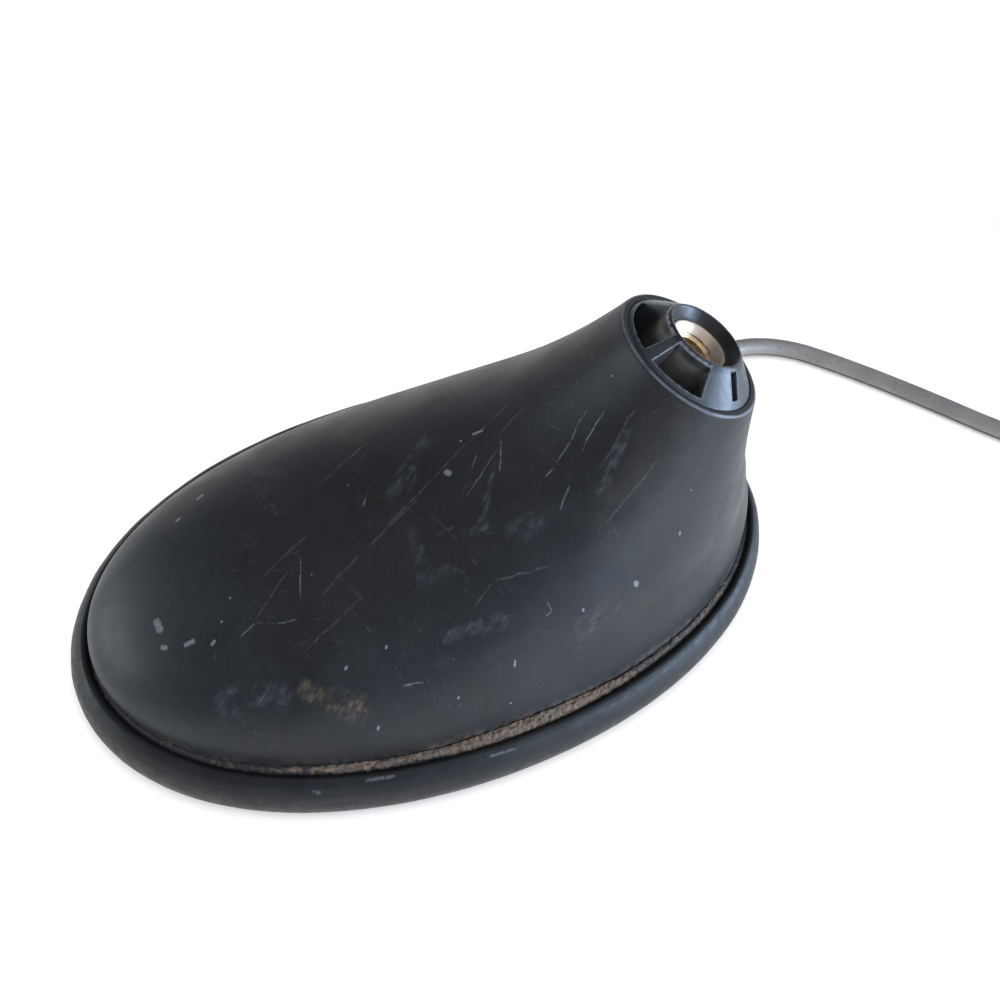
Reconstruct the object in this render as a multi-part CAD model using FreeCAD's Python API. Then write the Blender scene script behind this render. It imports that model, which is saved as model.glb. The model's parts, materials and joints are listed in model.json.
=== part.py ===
"""Foot of a car-roof rod antenna: raked plastic housing on a rubber gasket, threaded socket for the rod,
die-cast base with the amplifier board inside, and a coaxial lead that ends in a screw connector.

Millimetres. The origin is the centre of the underside, +Z is up, +X points to the neck, the nose is at -X.
"""
import FreeCAD
import Part

import math
import os

V = FreeCAD.Vector
UP = V(0, 0, 1)

# ---------------------------------------------------------------- driving dimensions
foot_length = 100.0
foot_width = 61.3
squareness = 0.026            # the outline is this much fuller at its quarters than an ellipse
lip_height = 6.5
ledge_height = 4.5            # gasket ledge that the housing's edge stands on
lip_width = 3.7               # outer edge of the lip to the ledge
ledge_width = 2.9
web_thickness = 1.6           # gasket sheet under the base plate

housing_inset = 4.2           # housing edge inside the gasket's outer edge
housing_wall = 1.3
roof_wall = 1.6
mouth_centre = V(25.84, 0, 39.11)
mouth_radius = 8.93
neck_rake = 22.66             # degrees between the neck's axis and the vertical, leaning to +X

neck_bore = 8.15
neck_bore_depth = 7.5
insert_pocket_radius = 9.8
collar_height = 2.7
collar_radius = 4.6
rod_thread_minor = 2.1        # M5
bush_radius = 3.55
bush_top = 1.5

plate_top = 4.4
boss_radius = 8.0
fixing_thread_minor = 2.5     # M6
housing_boss_places = [(-31, -10), (-31, 10), (22, -14.5), (22, 14.5)]
board_post_places = [(-18.5, -8.5), (-18.5, 8.5), (10.5, -8.5)]
board_bottom = 7.5
board_thickness = 1.6
board_top = board_bottom + board_thickness

cable_diameter = 2.8
cable_radius = cable_diameter / 2
braid_radius = 1.05
dielectric_radius = 0.76
core_radius = 0.25
clamp_screw_offset = 3.3      # each side of the lead
lead_exit = V(48.6, 17.2, 2.2)
lead_heading = 35.0           # degrees from +X in which the lead leaves the foot
grommet_length = 9.0
grommet_radius = 2.1

coil_centre = V(129.2, -11.6, 0)
coil_radius = 15.4            # middle of the turns
coil_lift = 0.55              # the coil lies on its tie
connector_axis_height = 5.3
connector_start = V(144.8, 4.9, connector_axis_height)

lead_direction = V(math.cos(math.radians(lead_heading)), math.sin(math.radians(lead_heading)), 0)

# Corner points of the lead's runs, from the gasket to the coil; the arcs between them are tangent to the runs.
cable_route = [
    lead_exit,
    lead_exit + lead_direction * 8.6,
    V(64.3, 23.4, 1.6),
    V(72.7, 20.7, cable_radius),
    V(79.4, 15.0, cable_radius),
    V(85.9, 8.8, cable_radius),
    V(92.8, 1.6, cable_radius),
    V(99.5, -5.8, cable_radius),
    V(109.4, -14.8, 1.55),
    V(116.5, -22.6, 1.95),
]
tail_route = [
    V(144.6, -11.6, 4.37),
    V(144.8, -3.4, connector_axis_height),
    V(144.8, 12.9, connector_axis_height),
]
inner_lead_route = [
    V(9.5, 7.0, board_top + 1.65),
    V(17.5, 7.0, board_top + 1.65),
    V(25.6, 6.6, 6.4),
    lead_exit - lead_direction * 18,
    lead_exit,
]


# ---------------------------------------------------------------- helpers
def cylinder(radius, low, high, place=(0, 0)):
    return Part.makeCylinder(radius, high - low, V(place[0], place[1], low), UP)


def tube(outer, inner, low, high, place=(0, 0)):
    return cylinder(outer, low, high, place).cut(cylinder(inner, low - 1, high + 1, place))


def box(low, high):
    return Part.makeBox(high[0] - low[0], high[1] - low[1], high[2] - low[2], V(*low))


def fuse(shapes):
    return shapes[0].fuse(shapes[1:]).removeSplitter() if len(shapes) > 1 else shapes[0]


def turned(profile):
    """Solid of revolution about Z from (radius, height) corners."""
    points = [V(r, 0, z) for r, z in profile]
    face = Part.Face(Part.makePolygon(points + points[:1]))
    return face.revolve(V(0, 0, 0), UP, 360)


def hexagon(across_flats, low, high):
    corner = across_flats / math.sqrt(3)
    turns = [math.radians(60 * k) for k in range(6)]
    points = [V(corner * math.cos(t), corner * math.sin(t), low) for t in turns]
    return Part.Face(Part.makePolygon(points + points[:1])).extrude(V(0, 0, high - low))


def chamfered_hexagon(across_flats, low, high, chamfer=0.5):
    corner = across_flats / math.sqrt(3)
    flat = across_flats / 2
    cone = turned([(0, low), (flat, low), (corner, low + chamfer), (corner, high - chamfer),
                   (flat, high), (0, high)])
    return hexagon(across_flats, low, high).common(cone)


def smooth_loop(points):
    curve = Part.BSplineCurve()
    curve.interpolate(Points=points, PeriodicFlag=True)
    return Part.Wire(curve.toShape())


def loft(wires):
    return Part.makeLoft(wires, True, False)


def outline(inset, z, count=32):
    """The foot's oval outline moved inwards by inset, at height z."""
    points = []
    for k in range(count):
        t = 2 * math.pi * k / count
        c, s = math.cos(t), math.sin(t)
        full = 1 + squareness * math.cos(2 * t)
        x = foot_length / 2 * c
        y = foot_width / 2 * s * full
        dx = -foot_length / 2 * s
        dy = foot_width / 2 * (c * full - 2 * squareness * s * math.sin(2 * t))
        length = math.hypot(dx, dy)
        points.append(V(x - inset * dy / length, y + inset * dx / length, z))
    return smooth_loop(points)


def oval_stack(profile):
    """Closed solid whose outline follows (inset, height) pairs."""
    return loft([outline(inset, z) for inset, z in profile])


def oval_slab(inset, low, high):
    return Part.Face(outline(inset, low)).extrude(V(0, 0, high - low))


def on_neck(shape):
    """Move a shape modelled about Z, with the mouth at height 0, to the raked neck."""
    placed = shape.copy()
    placed.Placement = FreeCAD.Placement(mouth_centre, FreeCAD.Rotation(V(0, 1, 0), neck_rake))
    return placed


def along_lead(shape, origin):
    """Move a shape modelled about Z to the lead's exit direction, with Z = 0 at origin."""
    placed = shape.copy()
    placed.Placement = FreeCAD.Placement(origin, FreeCAD.Rotation(UP, lead_direction))
    return placed


def on_connector(shape):
    """Move a shape modelled about Z to the connector's axis, which points along +Y."""
    placed = shape.copy()
    placed.Placement = FreeCAD.Placement(connector_start, FreeCAD.Rotation(UP, V(0, 1, 0)))
    return placed


def route_wire(name, points):
    """Straight runs joined by tangent arcs, each as large as its two runs allow."""
    edges = []
    start = points[0]
    smallest = None
    for before, corner, after in zip(points, points[1:], points[2:]):
        run_in, run_out = corner - before, after - corner
        shorter = min(run_in.Length, run_out.Length)
        half_turn = run_in.getAngle(run_out) / 2
        radius = 0.45 * shorter / math.tan(half_turn)
        smallest = radius if smallest is None else min(smallest, radius)
        into, out = V(run_in).normalize(), V(run_out).normalize()
        arc_start = corner - into * (0.45 * shorter)
        arc_end = corner + out * (0.45 * shorter)
        inwards = (out - into).normalize()
        arc_middle = corner + inwards * (radius / math.cos(half_turn) - radius)
        edges.append(Part.LineSegment(start, arc_start).toShape())
        edges.append(Part.Arc(arc_start, arc_middle, arc_end).toShape())
        start = arc_end
    edges.append(Part.LineSegment(start, points[-1]).toShape())
    wire = Part.Wire(edges)
    print(f"{name}: length {wire.Length:.1f} mm, smallest radius {smallest:.1f} mm")
    return wire


def round_cord(name, points, radius):
    wire = route_wire(name, points)
    circle = Part.Circle(points[0], points[1] - points[0], radius).toShape()
    cord = wire.makePipeShell([Part.Wire(circle)], True, False)
    share = cord.Volume / (math.pi * radius ** 2 * wire.Length)
    print(f"{name}: volume / (section x length) = {share:.4f}")
    return cord


def rounded_polygon(points, radius):
    """Outline round circles of one radius at the (r, z) corners, anticlockwise, in the XZ plane."""
    edges = []
    corners = [V(r, 0, z) for r, z in points]
    count = len(corners)

    def outward(k):
        along = (corners[(k + 1) % count] - corners[k % count]).normalize()
        return V(along.z, 0, -along.x)

    for k in range(count):
        here, following = corners[k], corners[(k + 1) % count]
        normal, turned_normal = outward(k), outward(k + 1)
        middle = (normal + turned_normal).normalize()
        edges.append(Part.LineSegment(here + normal * radius, following + normal * radius).toShape())
        edges.append(Part.Arc(following + normal * radius, following + middle * radius,
                              following + turned_normal * radius).toShape())
    return Part.Wire(edges)


def bent_strip(points, thickness, width, y_middle=0):
    """Sheet-metal strip along an (x, z) line, with rounded bends."""
    line = Part.makePolygon([V(x, y_middle - width / 2, z) for x, z in points])
    edge = line.makeOffset2D(thickness / 2, 0, False, False)
    return Part.Face(edge).extrude(V(0, width, 0))


# ---------------------------------------------------------------- housing
def clamped_curve(poles):
    curve = Part.BSplineCurve()
    curve.buildFromPoles(poles, False, 3)
    return curve


def mouth_point(side):
    rake = math.radians(neck_rake)
    return mouth_centre + V(math.cos(rake), 0, -math.sin(rake)) * (mouth_radius * side)


edge_x = foot_length / 2 - housing_inset
edge_y = foot_width / 2 * (1 - squareness) - housing_inset
front_line = clamped_curve([V(-edge_x, 0, 5.5), V(-47.2, 0, 11.6), V(-31.2, 0, 17.5), V(-6.9, 0, 23.3),
                            V(10.8, 0, 32.7), mouth_point(-1)])
rear_line = clamped_curve([V(edge_x, 0, 5.5), V(45.7, 0, 10.0), V(42.4, 0, 13.6), V(40.7, 0, 19.3),
                           V(36.6, 0, 25.7), mouth_point(1)])
side_line = clamped_curve([V(edge_y, 0, 0), V(23.0, 0, 0), V(20.4, 0, 0), V(17.6, 0, 0), V(12.6, 0, 0),
                           V(mouth_radius, 0, 0)])


def point_on(curve, share):
    first, last = curve.FirstParameter, curve.LastParameter
    return curve.value(first + share * (last - first))


def housing_section(share, inwards=0.0, lower=0.0, count=32):
    """Closed section between the front and rear lines, at a share of the way from the edge to the mouth."""
    front, rear = point_on(front_line, share), point_on(rear_line, share)
    middle = (front + rear) * 0.5 - V(0, 0, lower)
    half = (rear - front) * 0.5
    half = half * ((half.Length - inwards) / half.Length)
    side = point_on(side_line, share).x - inwards
    fullness = squareness * (1 - share) ** 4
    points = []
    for k in range(count):
        t = 2 * math.pi * k / count
        width = side * math.sin(t) * (1 + fullness * (1 + math.cos(2 * t)))
        points.append(middle + half * math.cos(t) + V(0, width, 0))
    return smooth_loop(points)


def housing_body(inwards=0.0, lower=0.0, top=1.0):
    shares = [0, 0.05, 0.12, 0.2, 0.3, 0.4, 0.5, 0.6, 0.7, 0.8, 0.9, 1.0]
    sections = [housing_section(s, inwards, lower) for s in shares if s <= top]
    return loft([housing_section(0, inwards, lower + 1.0)] + sections)


def housing_shell():
    outside = housing_body()
    inside = housing_body(housing_wall, roof_wall, top=0.8)
    shell = outside.cut(inside)
    bosses = [cylinder(3.2, plate_top, 16, place) for place in housing_boss_places]
    shell = shell.fuse([boss.common(outside) for boss in bosses])
    shell = shell.cut(on_neck(cylinder(neck_bore, -neck_bore_depth - 1, 1)))
    shell = shell.cut(on_neck(cylinder(insert_pocket_radius, -19, -neck_bore_depth)))
    for place in housing_boss_places:
        shell = shell.cut(cylinder(1.4, plate_top - 1, 11.6, place))
    return shell.removeSplitter()


# ---------------------------------------------------------------- gasket and base
def lead_cutter(radius, back, forward):
    """Round channel for the lead, from back to forward of its exit point."""
    return along_lead(cylinder(radius, -back, forward), lead_exit)


def base_gasket():
    lip = oval_stack([(0.8, 0), (0.15, 0.8), (0, 1.7), (0.2, 3.1), (0.9, 4.7), (1.8, 5.9), (2.8, lip_height)])
    groove = oval_stack([(lip_width, ledge_height), (3.65, 5.2), (3.55, 5.8), (3.3, lip_height),
                         (2.9, lip_height + 0.8)])
    pocket = oval_slab(lip_width + ledge_width, web_thickness, ledge_height + 1)
    gasket = lip.cut(groove).cut(pocket)
    gasket = gasket.cut(cylinder(boss_radius + 0.3, -1, 3))
    for place in housing_boss_places:
        gasket = gasket.cut(cylinder(3.2, -1, 3, place))
    gasket = gasket.cut(lead_cutter(cable_radius + 0.15, 20, 1))
    gasket = gasket.cut(lead_cutter(grommet_radius, grommet_length + 0.2, 1))
    below = box((-grommet_length - 0.2, -grommet_radius, -3), (1, grommet_radius, 0))
    below.Placement = FreeCAD.Placement(lead_exit, FreeCAD.Rotation(UP, lead_heading))
    return gasket.cut(below)


def base_plate():
    plate = oval_slab(lip_width + ledge_width + 0.2, web_thickness, plate_top)
    plate = plate.fuse(cylinder(boss_radius, 0.2, 7.0))
    plate = plate.fuse([cylinder(2.6, plate_top, board_bottom, place) for place in board_post_places])
    plate = plate.cut(hexagon(11.0, -1, 6.4))
    for place in housing_boss_places:
        plate = plate.cut(cylinder(2.9, 0, 3.4, place)).cut(cylinder(1.6, 0, 6, place))
    for place in board_post_places:
        plate = plate.cut(cylinder(1.05, 2.6, 9, place))
    channel = box((-21, -2.4, -1), (-2, 2.4, 4))
    channel.Placement = FreeCAD.Placement(lead_exit, FreeCAD.Rotation(UP, lead_heading))
    return plate.cut(channel).cut(box((23.5, 4.2, 0), (35.5, 9.2, 6)))


def fixing_insert():
    return hexagon(11.0, 0.4, 6.4).cut(cylinder(fixing_thread_minor, 0, 7))


def cross_recess(low, high, size=2.6, width=0.7):
    return box((-size / 2, -width / 2, low), (size / 2, width / 2, high)).fuse(
        box((-width / 2, -size / 2, low), (width / 2, size / 2, high)))


def screw(head_radius, head_low, head_high, shank_radius, tip, recess_side, recess=2.6):
    """Round-headed screw along Z; recess_side is 1 for a head that is driven from above, -1 from below."""
    head = cylinder(head_radius, head_low, head_high)
    shank_end = head_low if recess_side > 0 else head_high
    shank = cylinder(shank_radius, min(tip, shank_end), max(tip, shank_end))
    deep = (head_high - head_low) * 0.6
    if recess_side > 0:
        return head.fuse(shank).cut(cross_recess(head_high - deep, head_high + 1, recess)).removeSplitter()
    return head.fuse(shank).cut(cross_recess(head_low - 1, head_low + deep, recess)).removeSplitter()


def at_places(shape, places):
    copies = []
    for x, y in places:
        copy = shape.copy()
        copy.translate(V(x, y, 0))
        copies.append(copy)
    return Part.makeCompound(copies)


# ---------------------------------------------------------------- neck: insert, bush and feed
def sector(angle_from, angle_to, inner, outer, low, high):
    """Part of a ring about the neck's axis; angles count from the nose side towards -Y."""
    ring = tube(outer, inner, low, high)
    corners = [V(0, 0, low - 1)]
    steps = 6
    for k in range(steps + 1):
        t = math.radians(180 + angle_from + (angle_to - angle_from) * k / steps)
        corners.append(V(2 * outer * math.cos(t), 2 * outer * math.sin(t), low - 1))
    wedge = Part.Face(Part.makePolygon(corners + corners[:1])).extrude(V(0, 0, high - low + 2))
    return ring.common(wedge)


def mast_insert():
    body = turned([(3.6, -9.0), (9.5, -9.0), (9.5, -7.5), (8.1, -7.5), (8.1, -7.1), (6.65, -7.1),
                   (6.65, -5.5), (8.1, -5.5), (8.1, -0.1), (collar_radius, collar_height),
                   (collar_radius - 0.25, collar_height), (3.6, bush_top)])
    windows = [sector(-65, 2, 4.9, 7.6, -4.2, 4), sector(14, 63, 4.9, 7.6, -4.2, 4)]
    slot = box((4.9, -0.55, -0.9), (7.3, 0.55, 4))
    slot.rotate(V(0, 0, 0), UP, 180 + 102)
    return on_neck(body.cut(windows).cut(slot))


def mast_bush():
    barrel = turned([(0, -9.0), (bush_radius, -9.0), (bush_radius, bush_top - 0.15),
                     (bush_radius - 0.15, bush_top), (0, bush_top)])
    flange = chamfered_hexagon(10, -11, -9)
    stub = turned([(0, -11), (2.0, -11), (2.0, -15.6), (1.6, -16), (0, -16)])
    socket = turned([(0, -9.6), (rod_thread_minor, -8.6), (rod_thread_minor, 0.2), (2.55, 0.65),
                     (3.3, bush_top), (3.3, bush_top + 1), (0, bush_top + 1)])
    return on_neck(fuse([barrel, flange, stub]).cut(socket))


def ring_seal(ring_radius, section_radius, height):
    return Part.makeTorus(ring_radius, section_radius, V(0, 0, height), UP)


def feed_lug():
    ring = on_neck(tube(4.2, 2.1, -11.5, -11.0))
    rake = math.radians(neck_rake)

    def neck_point(across, along):
        return (mouth_centre.x + across * math.cos(rake) + along * math.sin(rake),
                mouth_centre.z - across * math.sin(rake) + along * math.cos(rake))

    strip = bent_strip([neck_point(-3.6, -11.25), neck_point(-6.6, -11.25), (13.7, 27.0),
                        (13.7, board_top + 0.25), (8.0, board_top + 0.25)], 0.5, 3.0)
    strip = strip.cut(on_neck(cylinder(3.4, -13, -9)))
    return fuse([ring, strip])


# ---------------------------------------------------------------- circuit board
def circuit_board():
    left, right, half, cut = -22, 14, 12, 2
    points = [V(left + cut, -half, board_bottom), V(right - cut, -half, board_bottom),
              V(right, -half + cut, board_bottom), V(right, half - cut, board_bottom),
              V(right - cut, half, board_bottom), V(left + cut, half, board_bottom),
              V(left, half - cut, board_bottom), V(left, -half + cut, board_bottom)]
    board = Part.Face(Part.makePolygon(points + points[:1])).extrude(V(0, 0, board_thickness))
    for place in board_post_places:
        board = board.cut(cylinder(1.25, 0, 20, place))
    for side in (-1, 1):
        board = board.cut(cylinder(0.85, 0, 20, (7.9, 7 + clamp_screw_offset * side)))
    return board


def shield_can():
    outer = box((-15, -7, board_top), (1, 7, board_top + 3.4))
    inner = box((-14.8, -6.8, board_top - 1), (0.8, 6.8, board_top + 3.2))
    vents = [cylinder(0.6, board_top + 3, board_top + 4, (x, y)) for x in (-12, -7, -2) for y in (-4, 0, 4)]
    return outer.cut(inner).cut(vents)


def chip(length, width, height, x, y):
    return box((x - length / 2, y - width / 2, board_top), (x + length / 2, y + width / 2, board_top + height))


def chips(length, width, height, places):
    return Part.makeCompound([chip(length, width, height, x, y) for x, y in places])


def amplifier_transistor():
    body = box((-8.4, -1.3, board_top + 0.1), (-3.6, 1.3, board_top + 1.6))
    legs = [box((x - 0.25, -2.4, board_top), (x + 0.25, 0, board_top + 0.3)) for x in (-7.4, -6, -4.6)]
    tab = box((-6.9, 0, board_top), (-5.1, 2.3, board_top + 0.3))
    return fuse([body, tab] + legs)


def wound_inductors():
    coils = []
    for x, y in ((-12.4, 0), (-1.6, 0), (4.6, -6.5)):
        core = turned([(0, 0), (1.3, 0), (1.3, 0.3), (0.8, 0.3), (0.8, 1.7), (1.3, 1.7), (1.3, 2.0), (0, 2.0)])
        core.translate(V(x, y, board_top))
        winding = tube(1.15, 0.8, board_top + 0.3, board_top + 1.7, (x, y))
        coils.append(core.fuse(winding).removeSplitter())
    return Part.makeCompound(coils)


# ---------------------------------------------------------------- lead inside the foot
def lead_end(radius, x_low, x_high, inner=0.0):
    axis_height = inner_lead_route[0].z
    rod = Part.makeCylinder(radius, x_high - x_low, V(x_low, 7, axis_height), V(1, 0, 0))
    if inner:
        rod = rod.cut(Part.makeCylinder(inner, x_high - x_low + 2, V(x_low - 1, 7, axis_height), V(1, 0, 0)))
    return rod


def coax_core_end():
    axis_height = inner_lead_route[0].z
    wire = Part.makePolygon([V(9.5, 7, axis_height), V(4.6, 7, axis_height), V(3.2, 7, board_top + core_radius),
                             V(2.0, 7, board_top + core_radius)])
    circle = Part.Circle(V(9.5, 7, axis_height), V(-1, 0, 0), core_radius).toShape()
    return wire.makePipeShell([Part.Wire(circle)], True, False, 2)


def coax_clamp():
    axis_height = inner_lead_route[0].z
    x_low, x_high = 6.8, 9.0
    sleeve_axis = V(x_low, 7, axis_height)
    arch_radius = braid_radius + 0.4
    arch = Part.makeCylinder(arch_radius, x_high - x_low, sleeve_axis, V(1, 0, 0))
    cheeks = box((x_low, 7 - arch_radius, board_top), (x_high, 7 + arch_radius, axis_height))
    feet = box((x_low, 2.4, board_top), (x_high, 11.6, board_top + 0.4))
    clamp = fuse([arch, cheeks, feet])
    clamp = clamp.cut(Part.makeCylinder(braid_radius, 8, V(x_low - 3, 7, axis_height), V(1, 0, 0)))
    clamp = clamp.cut(box((x_low - 1, 7 - braid_radius, board_top - 1), (x_high + 1, 7 + braid_radius, axis_height)))
    for side in (-1, 1):
        clamp = clamp.cut(cylinder(0.85, 0, 20, (7.9, 7 + clamp_screw_offset * side)))
    return clamp


def cable_grommet():
    sleeve = turned([(cable_radius, -grommet_length), (grommet_radius, -grommet_length),
                     (grommet_radius, -4.2), (cable_radius + 0.3, 0), (cable_radius, 0)])
    return along_lead(sleeve, lead_exit)


# ---------------------------------------------------------------- put-away coil and connector
def coil_section():
    """Middles of the turns: two beside each other and one in the valley on top, about the coil's axis."""
    low = cable_radius + coil_lift
    high = low + cable_diameter * math.sqrt(3) / 2
    return [(coil_radius - cable_radius, low), (coil_radius + cable_radius, low), (coil_radius, high)]


def cable_coil(tube_in, tube_out):
    face = Part.Face(rounded_polygon(coil_section(), cable_radius))
    ring = face.revolve(V(0, 0, 0), UP, 360)
    ring.translate(coil_centre)
    return ring.cut(tube_in).cut(tube_out)


def coil_tie():
    gap, thickness, width, angle = 0.04, 0.45, 3.0, 100
    outer = Part.Face(rounded_polygon(coil_section(), cable_radius + gap + thickness))
    inner = Part.Face(rounded_polygon(coil_section(), cable_radius + gap))
    arc = math.degrees(width / coil_radius)
    strap = outer.cut(inner).revolve(V(0, 0, 0), UP, arc)
    low, high = coil_section()[1][1], coil_section()[2][1]
    outside = coil_radius + cable_diameter
    head = box((outside + 0.3, -0.6, low - 0.6), (outside + 3.0, width + 0.6, low + 2.2))
    tie = strap.fuse(head.cut(inner.revolve(V(0, 0, 0), UP, 360)))
    end = box((outside + 1.2, 0.5, low + 2.2), (outside + 1.7, width - 0.5, high + 3.0))
    tie = tie.fuse(end).removeSplitter()
    tie.rotate(V(0, 0, 0), UP, angle)
    tie.translate(coil_centre)
    return tie


def connector_boot():
    return on_connector(turned([(cable_radius, 0), (1.9, 0), (2.35, 6), (2.35, 8), (cable_radius, 8)]))


def crimp_ferrule():
    return on_connector(turned([(1.25, 8), (2.7, 8), (2.7, 14.6), (1.25, 14.6)]))


def connector_body():
    spigot = tube(1.25, 0.7, 8, 15)
    nut_end = chamfered_hexagon(8.0, 14.6, 19.6, 0.4)
    barrel = turned([(0, 19.6), (3.2, 19.6), (3.2, 22.3), (2.8, 22.3), (2.8, 23.1), (3.2, 23.1), (3.2, 27), (0, 27)])
    body = fuse([spigot, nut_end, barrel])
    return on_connector(body.cut(cylinder(0.7, 7, 16)).cut(cylinder(2.4, 16, 28)))


def connector_insulator():
    return on_connector(tube(2.4, 0.65, 16, 26.5))


def centre_contact():
    return on_connector(turned([(0, 8), (0.5, 8), (0.5, 16), (0.65, 16), (0.65, 29.6), (0.3, 30.2), (0, 30.2)]))


def nut_snap_ring():
    ring = tube(3.8, 2.8, 22.4, 23.0)
    return on_connector(ring.cut(box((0, -0.5, 22), (5, 0.5, 24))))


def coupling_nut():
    blank = chamfered_hexagon(9.2, 20.0, 32.0, 0.6)
    bore = turned([(0, 19), (3.4, 19), (3.4, 22.0), (4.0, 22.0), (4.0, 31.5), (4.3, 32.1), (4.3, 33), (0, 33)])
    return on_connector(blank.cut(bore))


# ---------------------------------------------------------------- build and export
antenna_cable = round_cord("antenna_cable", cable_route, cable_radius)
cable_tail = round_cord("cable_tail", tail_route, cable_radius)

neck_parts = {
    "mast_insert": mast_insert(),
    "mast_bush": mast_bush(),
    "neck_oring": on_neck(ring_seal(7.38, 0.72, -6.3)),
    "insert_retainer": on_neck(tube(9.7, 6.2, -9.6, -9.0)),
    "feed_lug": feed_lug(),
    "lug_spring_washer": on_neck(tube(3.6, 2.1, -12.1, -11.5).cut(box((0, -0.3, -13), (5, 0.3, -11)))),
    "lug_nut": on_neck(chamfered_hexagon(7, -14.6, -12.1, 0.3).cut(cylinder(2.05, -16, -10))),
}
foot_parts = {
    "housing_shell": housing_shell(),
    "base_gasket": base_gasket(),
    "base_plate": base_plate(),
    "fixing_insert": fixing_insert(),
    "housing_screws": at_places(screw(2.7, 1.7, 3.4, 1.35, 11.3, -1, 3.4), housing_boss_places),
    "cable_grommet": cable_grommet(),
}
board_parts = {
    "circuit_board": circuit_board(),
    "board_screws": at_places(screw(2.2, board_top, board_top + 1.5, 1.0, 4.8, 1), board_post_places),
    "shield_can": shield_can(),
    "amplifier_transistor": amplifier_transistor(),
    "surge_diode": chip(2.6, 1.5, 1.1, 5.0, -2.9),
    "chip_capacitors": chips(1.6, 0.8, 0.8, [(-12, 4.4), (-9, 4.4), (-3, 4.4), (-12, -4.4), (-6, -5), (9, -3.4)]),
    "chip_resistors": chips(1.6, 0.8, 0.5, [(-6, 4.6), (-9.4, -4.4), (-2.6, -4.4), (-0.8, 4), (-18, 0)]),
    "wound_inductors": wound_inductors(),
}
lead_parts = {
    "coax_lead_inner": round_cord("coax_lead_inner", inner_lead_route, cable_radius),
    "coax_braid_end": lead_end(braid_radius, 6.2, 9.5, dielectric_radius),
    "coax_dielectric_end": lead_end(dielectric_radius, 5.0, 9.5, core_radius),
    "coax_core_end": coax_core_end(),
    "coax_clamp": coax_clamp(),
    "clamp_screws": at_places(screw(1.3, board_top + 0.4, board_top + 1.4, 0.8, board_bottom + 0.2, 1, 1.8),
                              [(7.9, 7 - clamp_screw_offset), (7.9, 7 + clamp_screw_offset)]),
}
cord_parts = {
    "antenna_cable": antenna_cable,
    "cable_coil": cable_coil(antenna_cable, cable_tail),
    "cable_tail": cable_tail,
    "coil_tie": coil_tie(),
    "connector_boot": connector_boot(),
    "crimp_ferrule": crimp_ferrule(),
    "connector_body": connector_body(),
    "connector_insulator": connector_insulator(),
    "centre_contact": centre_contact(),
    "nut_snap_ring": nut_snap_ring(),
    "coupling_nut": coupling_nut(),
}

os.makedirs("parts", exist_ok=True)
for group in (foot_parts, neck_parts, board_parts, lead_parts, cord_parts):
    for node, shape in group.items():
        shape.exportStep(f"parts/{node}.step")
        size = shape.BoundBox
        print(f"{node}: solids {len(shape.Solids)}, valid {shape.isValid()}, volume {shape.Volume:.1f}, "
              f"z {size.ZMin:.2f} to {size.ZMax:.2f}")
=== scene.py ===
"""Looks of a car-roof rod antenna's foot: worn black housing on a rubber gasket, neck insert with its
threaded bush, coaxial lead with a put-away coil and a screw connector, and the parts inside.

Shapes are worked out in millimetres; new_object() and the curves turn them into metres.
"""

import json
import math
import random

import bmesh
import bpy
import numpy as np
from mathutils import Matrix, Vector, noise


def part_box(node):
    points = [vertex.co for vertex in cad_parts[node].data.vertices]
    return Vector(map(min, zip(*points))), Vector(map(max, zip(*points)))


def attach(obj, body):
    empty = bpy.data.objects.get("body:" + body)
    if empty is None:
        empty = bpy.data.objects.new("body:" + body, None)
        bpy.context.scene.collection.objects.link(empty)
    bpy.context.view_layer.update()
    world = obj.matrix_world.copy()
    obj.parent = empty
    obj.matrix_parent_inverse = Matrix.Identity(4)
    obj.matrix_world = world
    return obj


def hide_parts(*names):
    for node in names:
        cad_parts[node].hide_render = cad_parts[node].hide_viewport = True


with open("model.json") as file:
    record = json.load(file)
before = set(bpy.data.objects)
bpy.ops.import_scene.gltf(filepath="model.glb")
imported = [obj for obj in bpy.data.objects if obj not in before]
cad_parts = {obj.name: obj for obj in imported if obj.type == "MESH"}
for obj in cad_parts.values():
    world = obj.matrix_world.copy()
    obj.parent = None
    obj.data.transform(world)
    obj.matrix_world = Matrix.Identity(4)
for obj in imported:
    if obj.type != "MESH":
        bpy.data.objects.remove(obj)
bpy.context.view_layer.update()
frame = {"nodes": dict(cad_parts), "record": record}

MM = 0.001
scene = bpy.context.scene

# ---------- sizes, from the frame where it has them
mounts = {mount["name"]: mount for mount in frame["record"]["mounts"]}


def in_mm(point):
    return np.array(point, float) / MM


gasket_high = in_mm(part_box("base_gasket")[1])
SQUARENESS = 0.026
HALF_LENGTH = gasket_high[0]
HALF_WIDTH = gasket_high[1] / (1 - SQUARENESS)
LIP_HEIGHT = gasket_high[2]
LEDGE_HEIGHT = 4.5
HOUSING_INSET = 4.2

NECK_ORIGIN = in_mm(mounts["mast_socket"]["pos_m"])
NECK_AXIS = np.array(mounts["mast_socket"]["axis"], float)
NECK_DOWN = np.array([NECK_AXIS[2], 0, -NECK_AXIS[0]])      # across the neck, towards its lower rear side
NECK_FRAME = np.stack([NECK_DOWN, [0, 1, 0], NECK_AXIS])
MOUTH_RADIUS = 8.93
NECK_BORE = 8.15
WALL = 1.3                       # of the housing
SCREW_PLACES = [(-31, -10), (-31, 10), (22, -14.5), (22, 14.5)]
SCREW_CLEARANCE = 3.2           # radius of the screw bosses, and of the holes for them in the gasket

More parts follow.
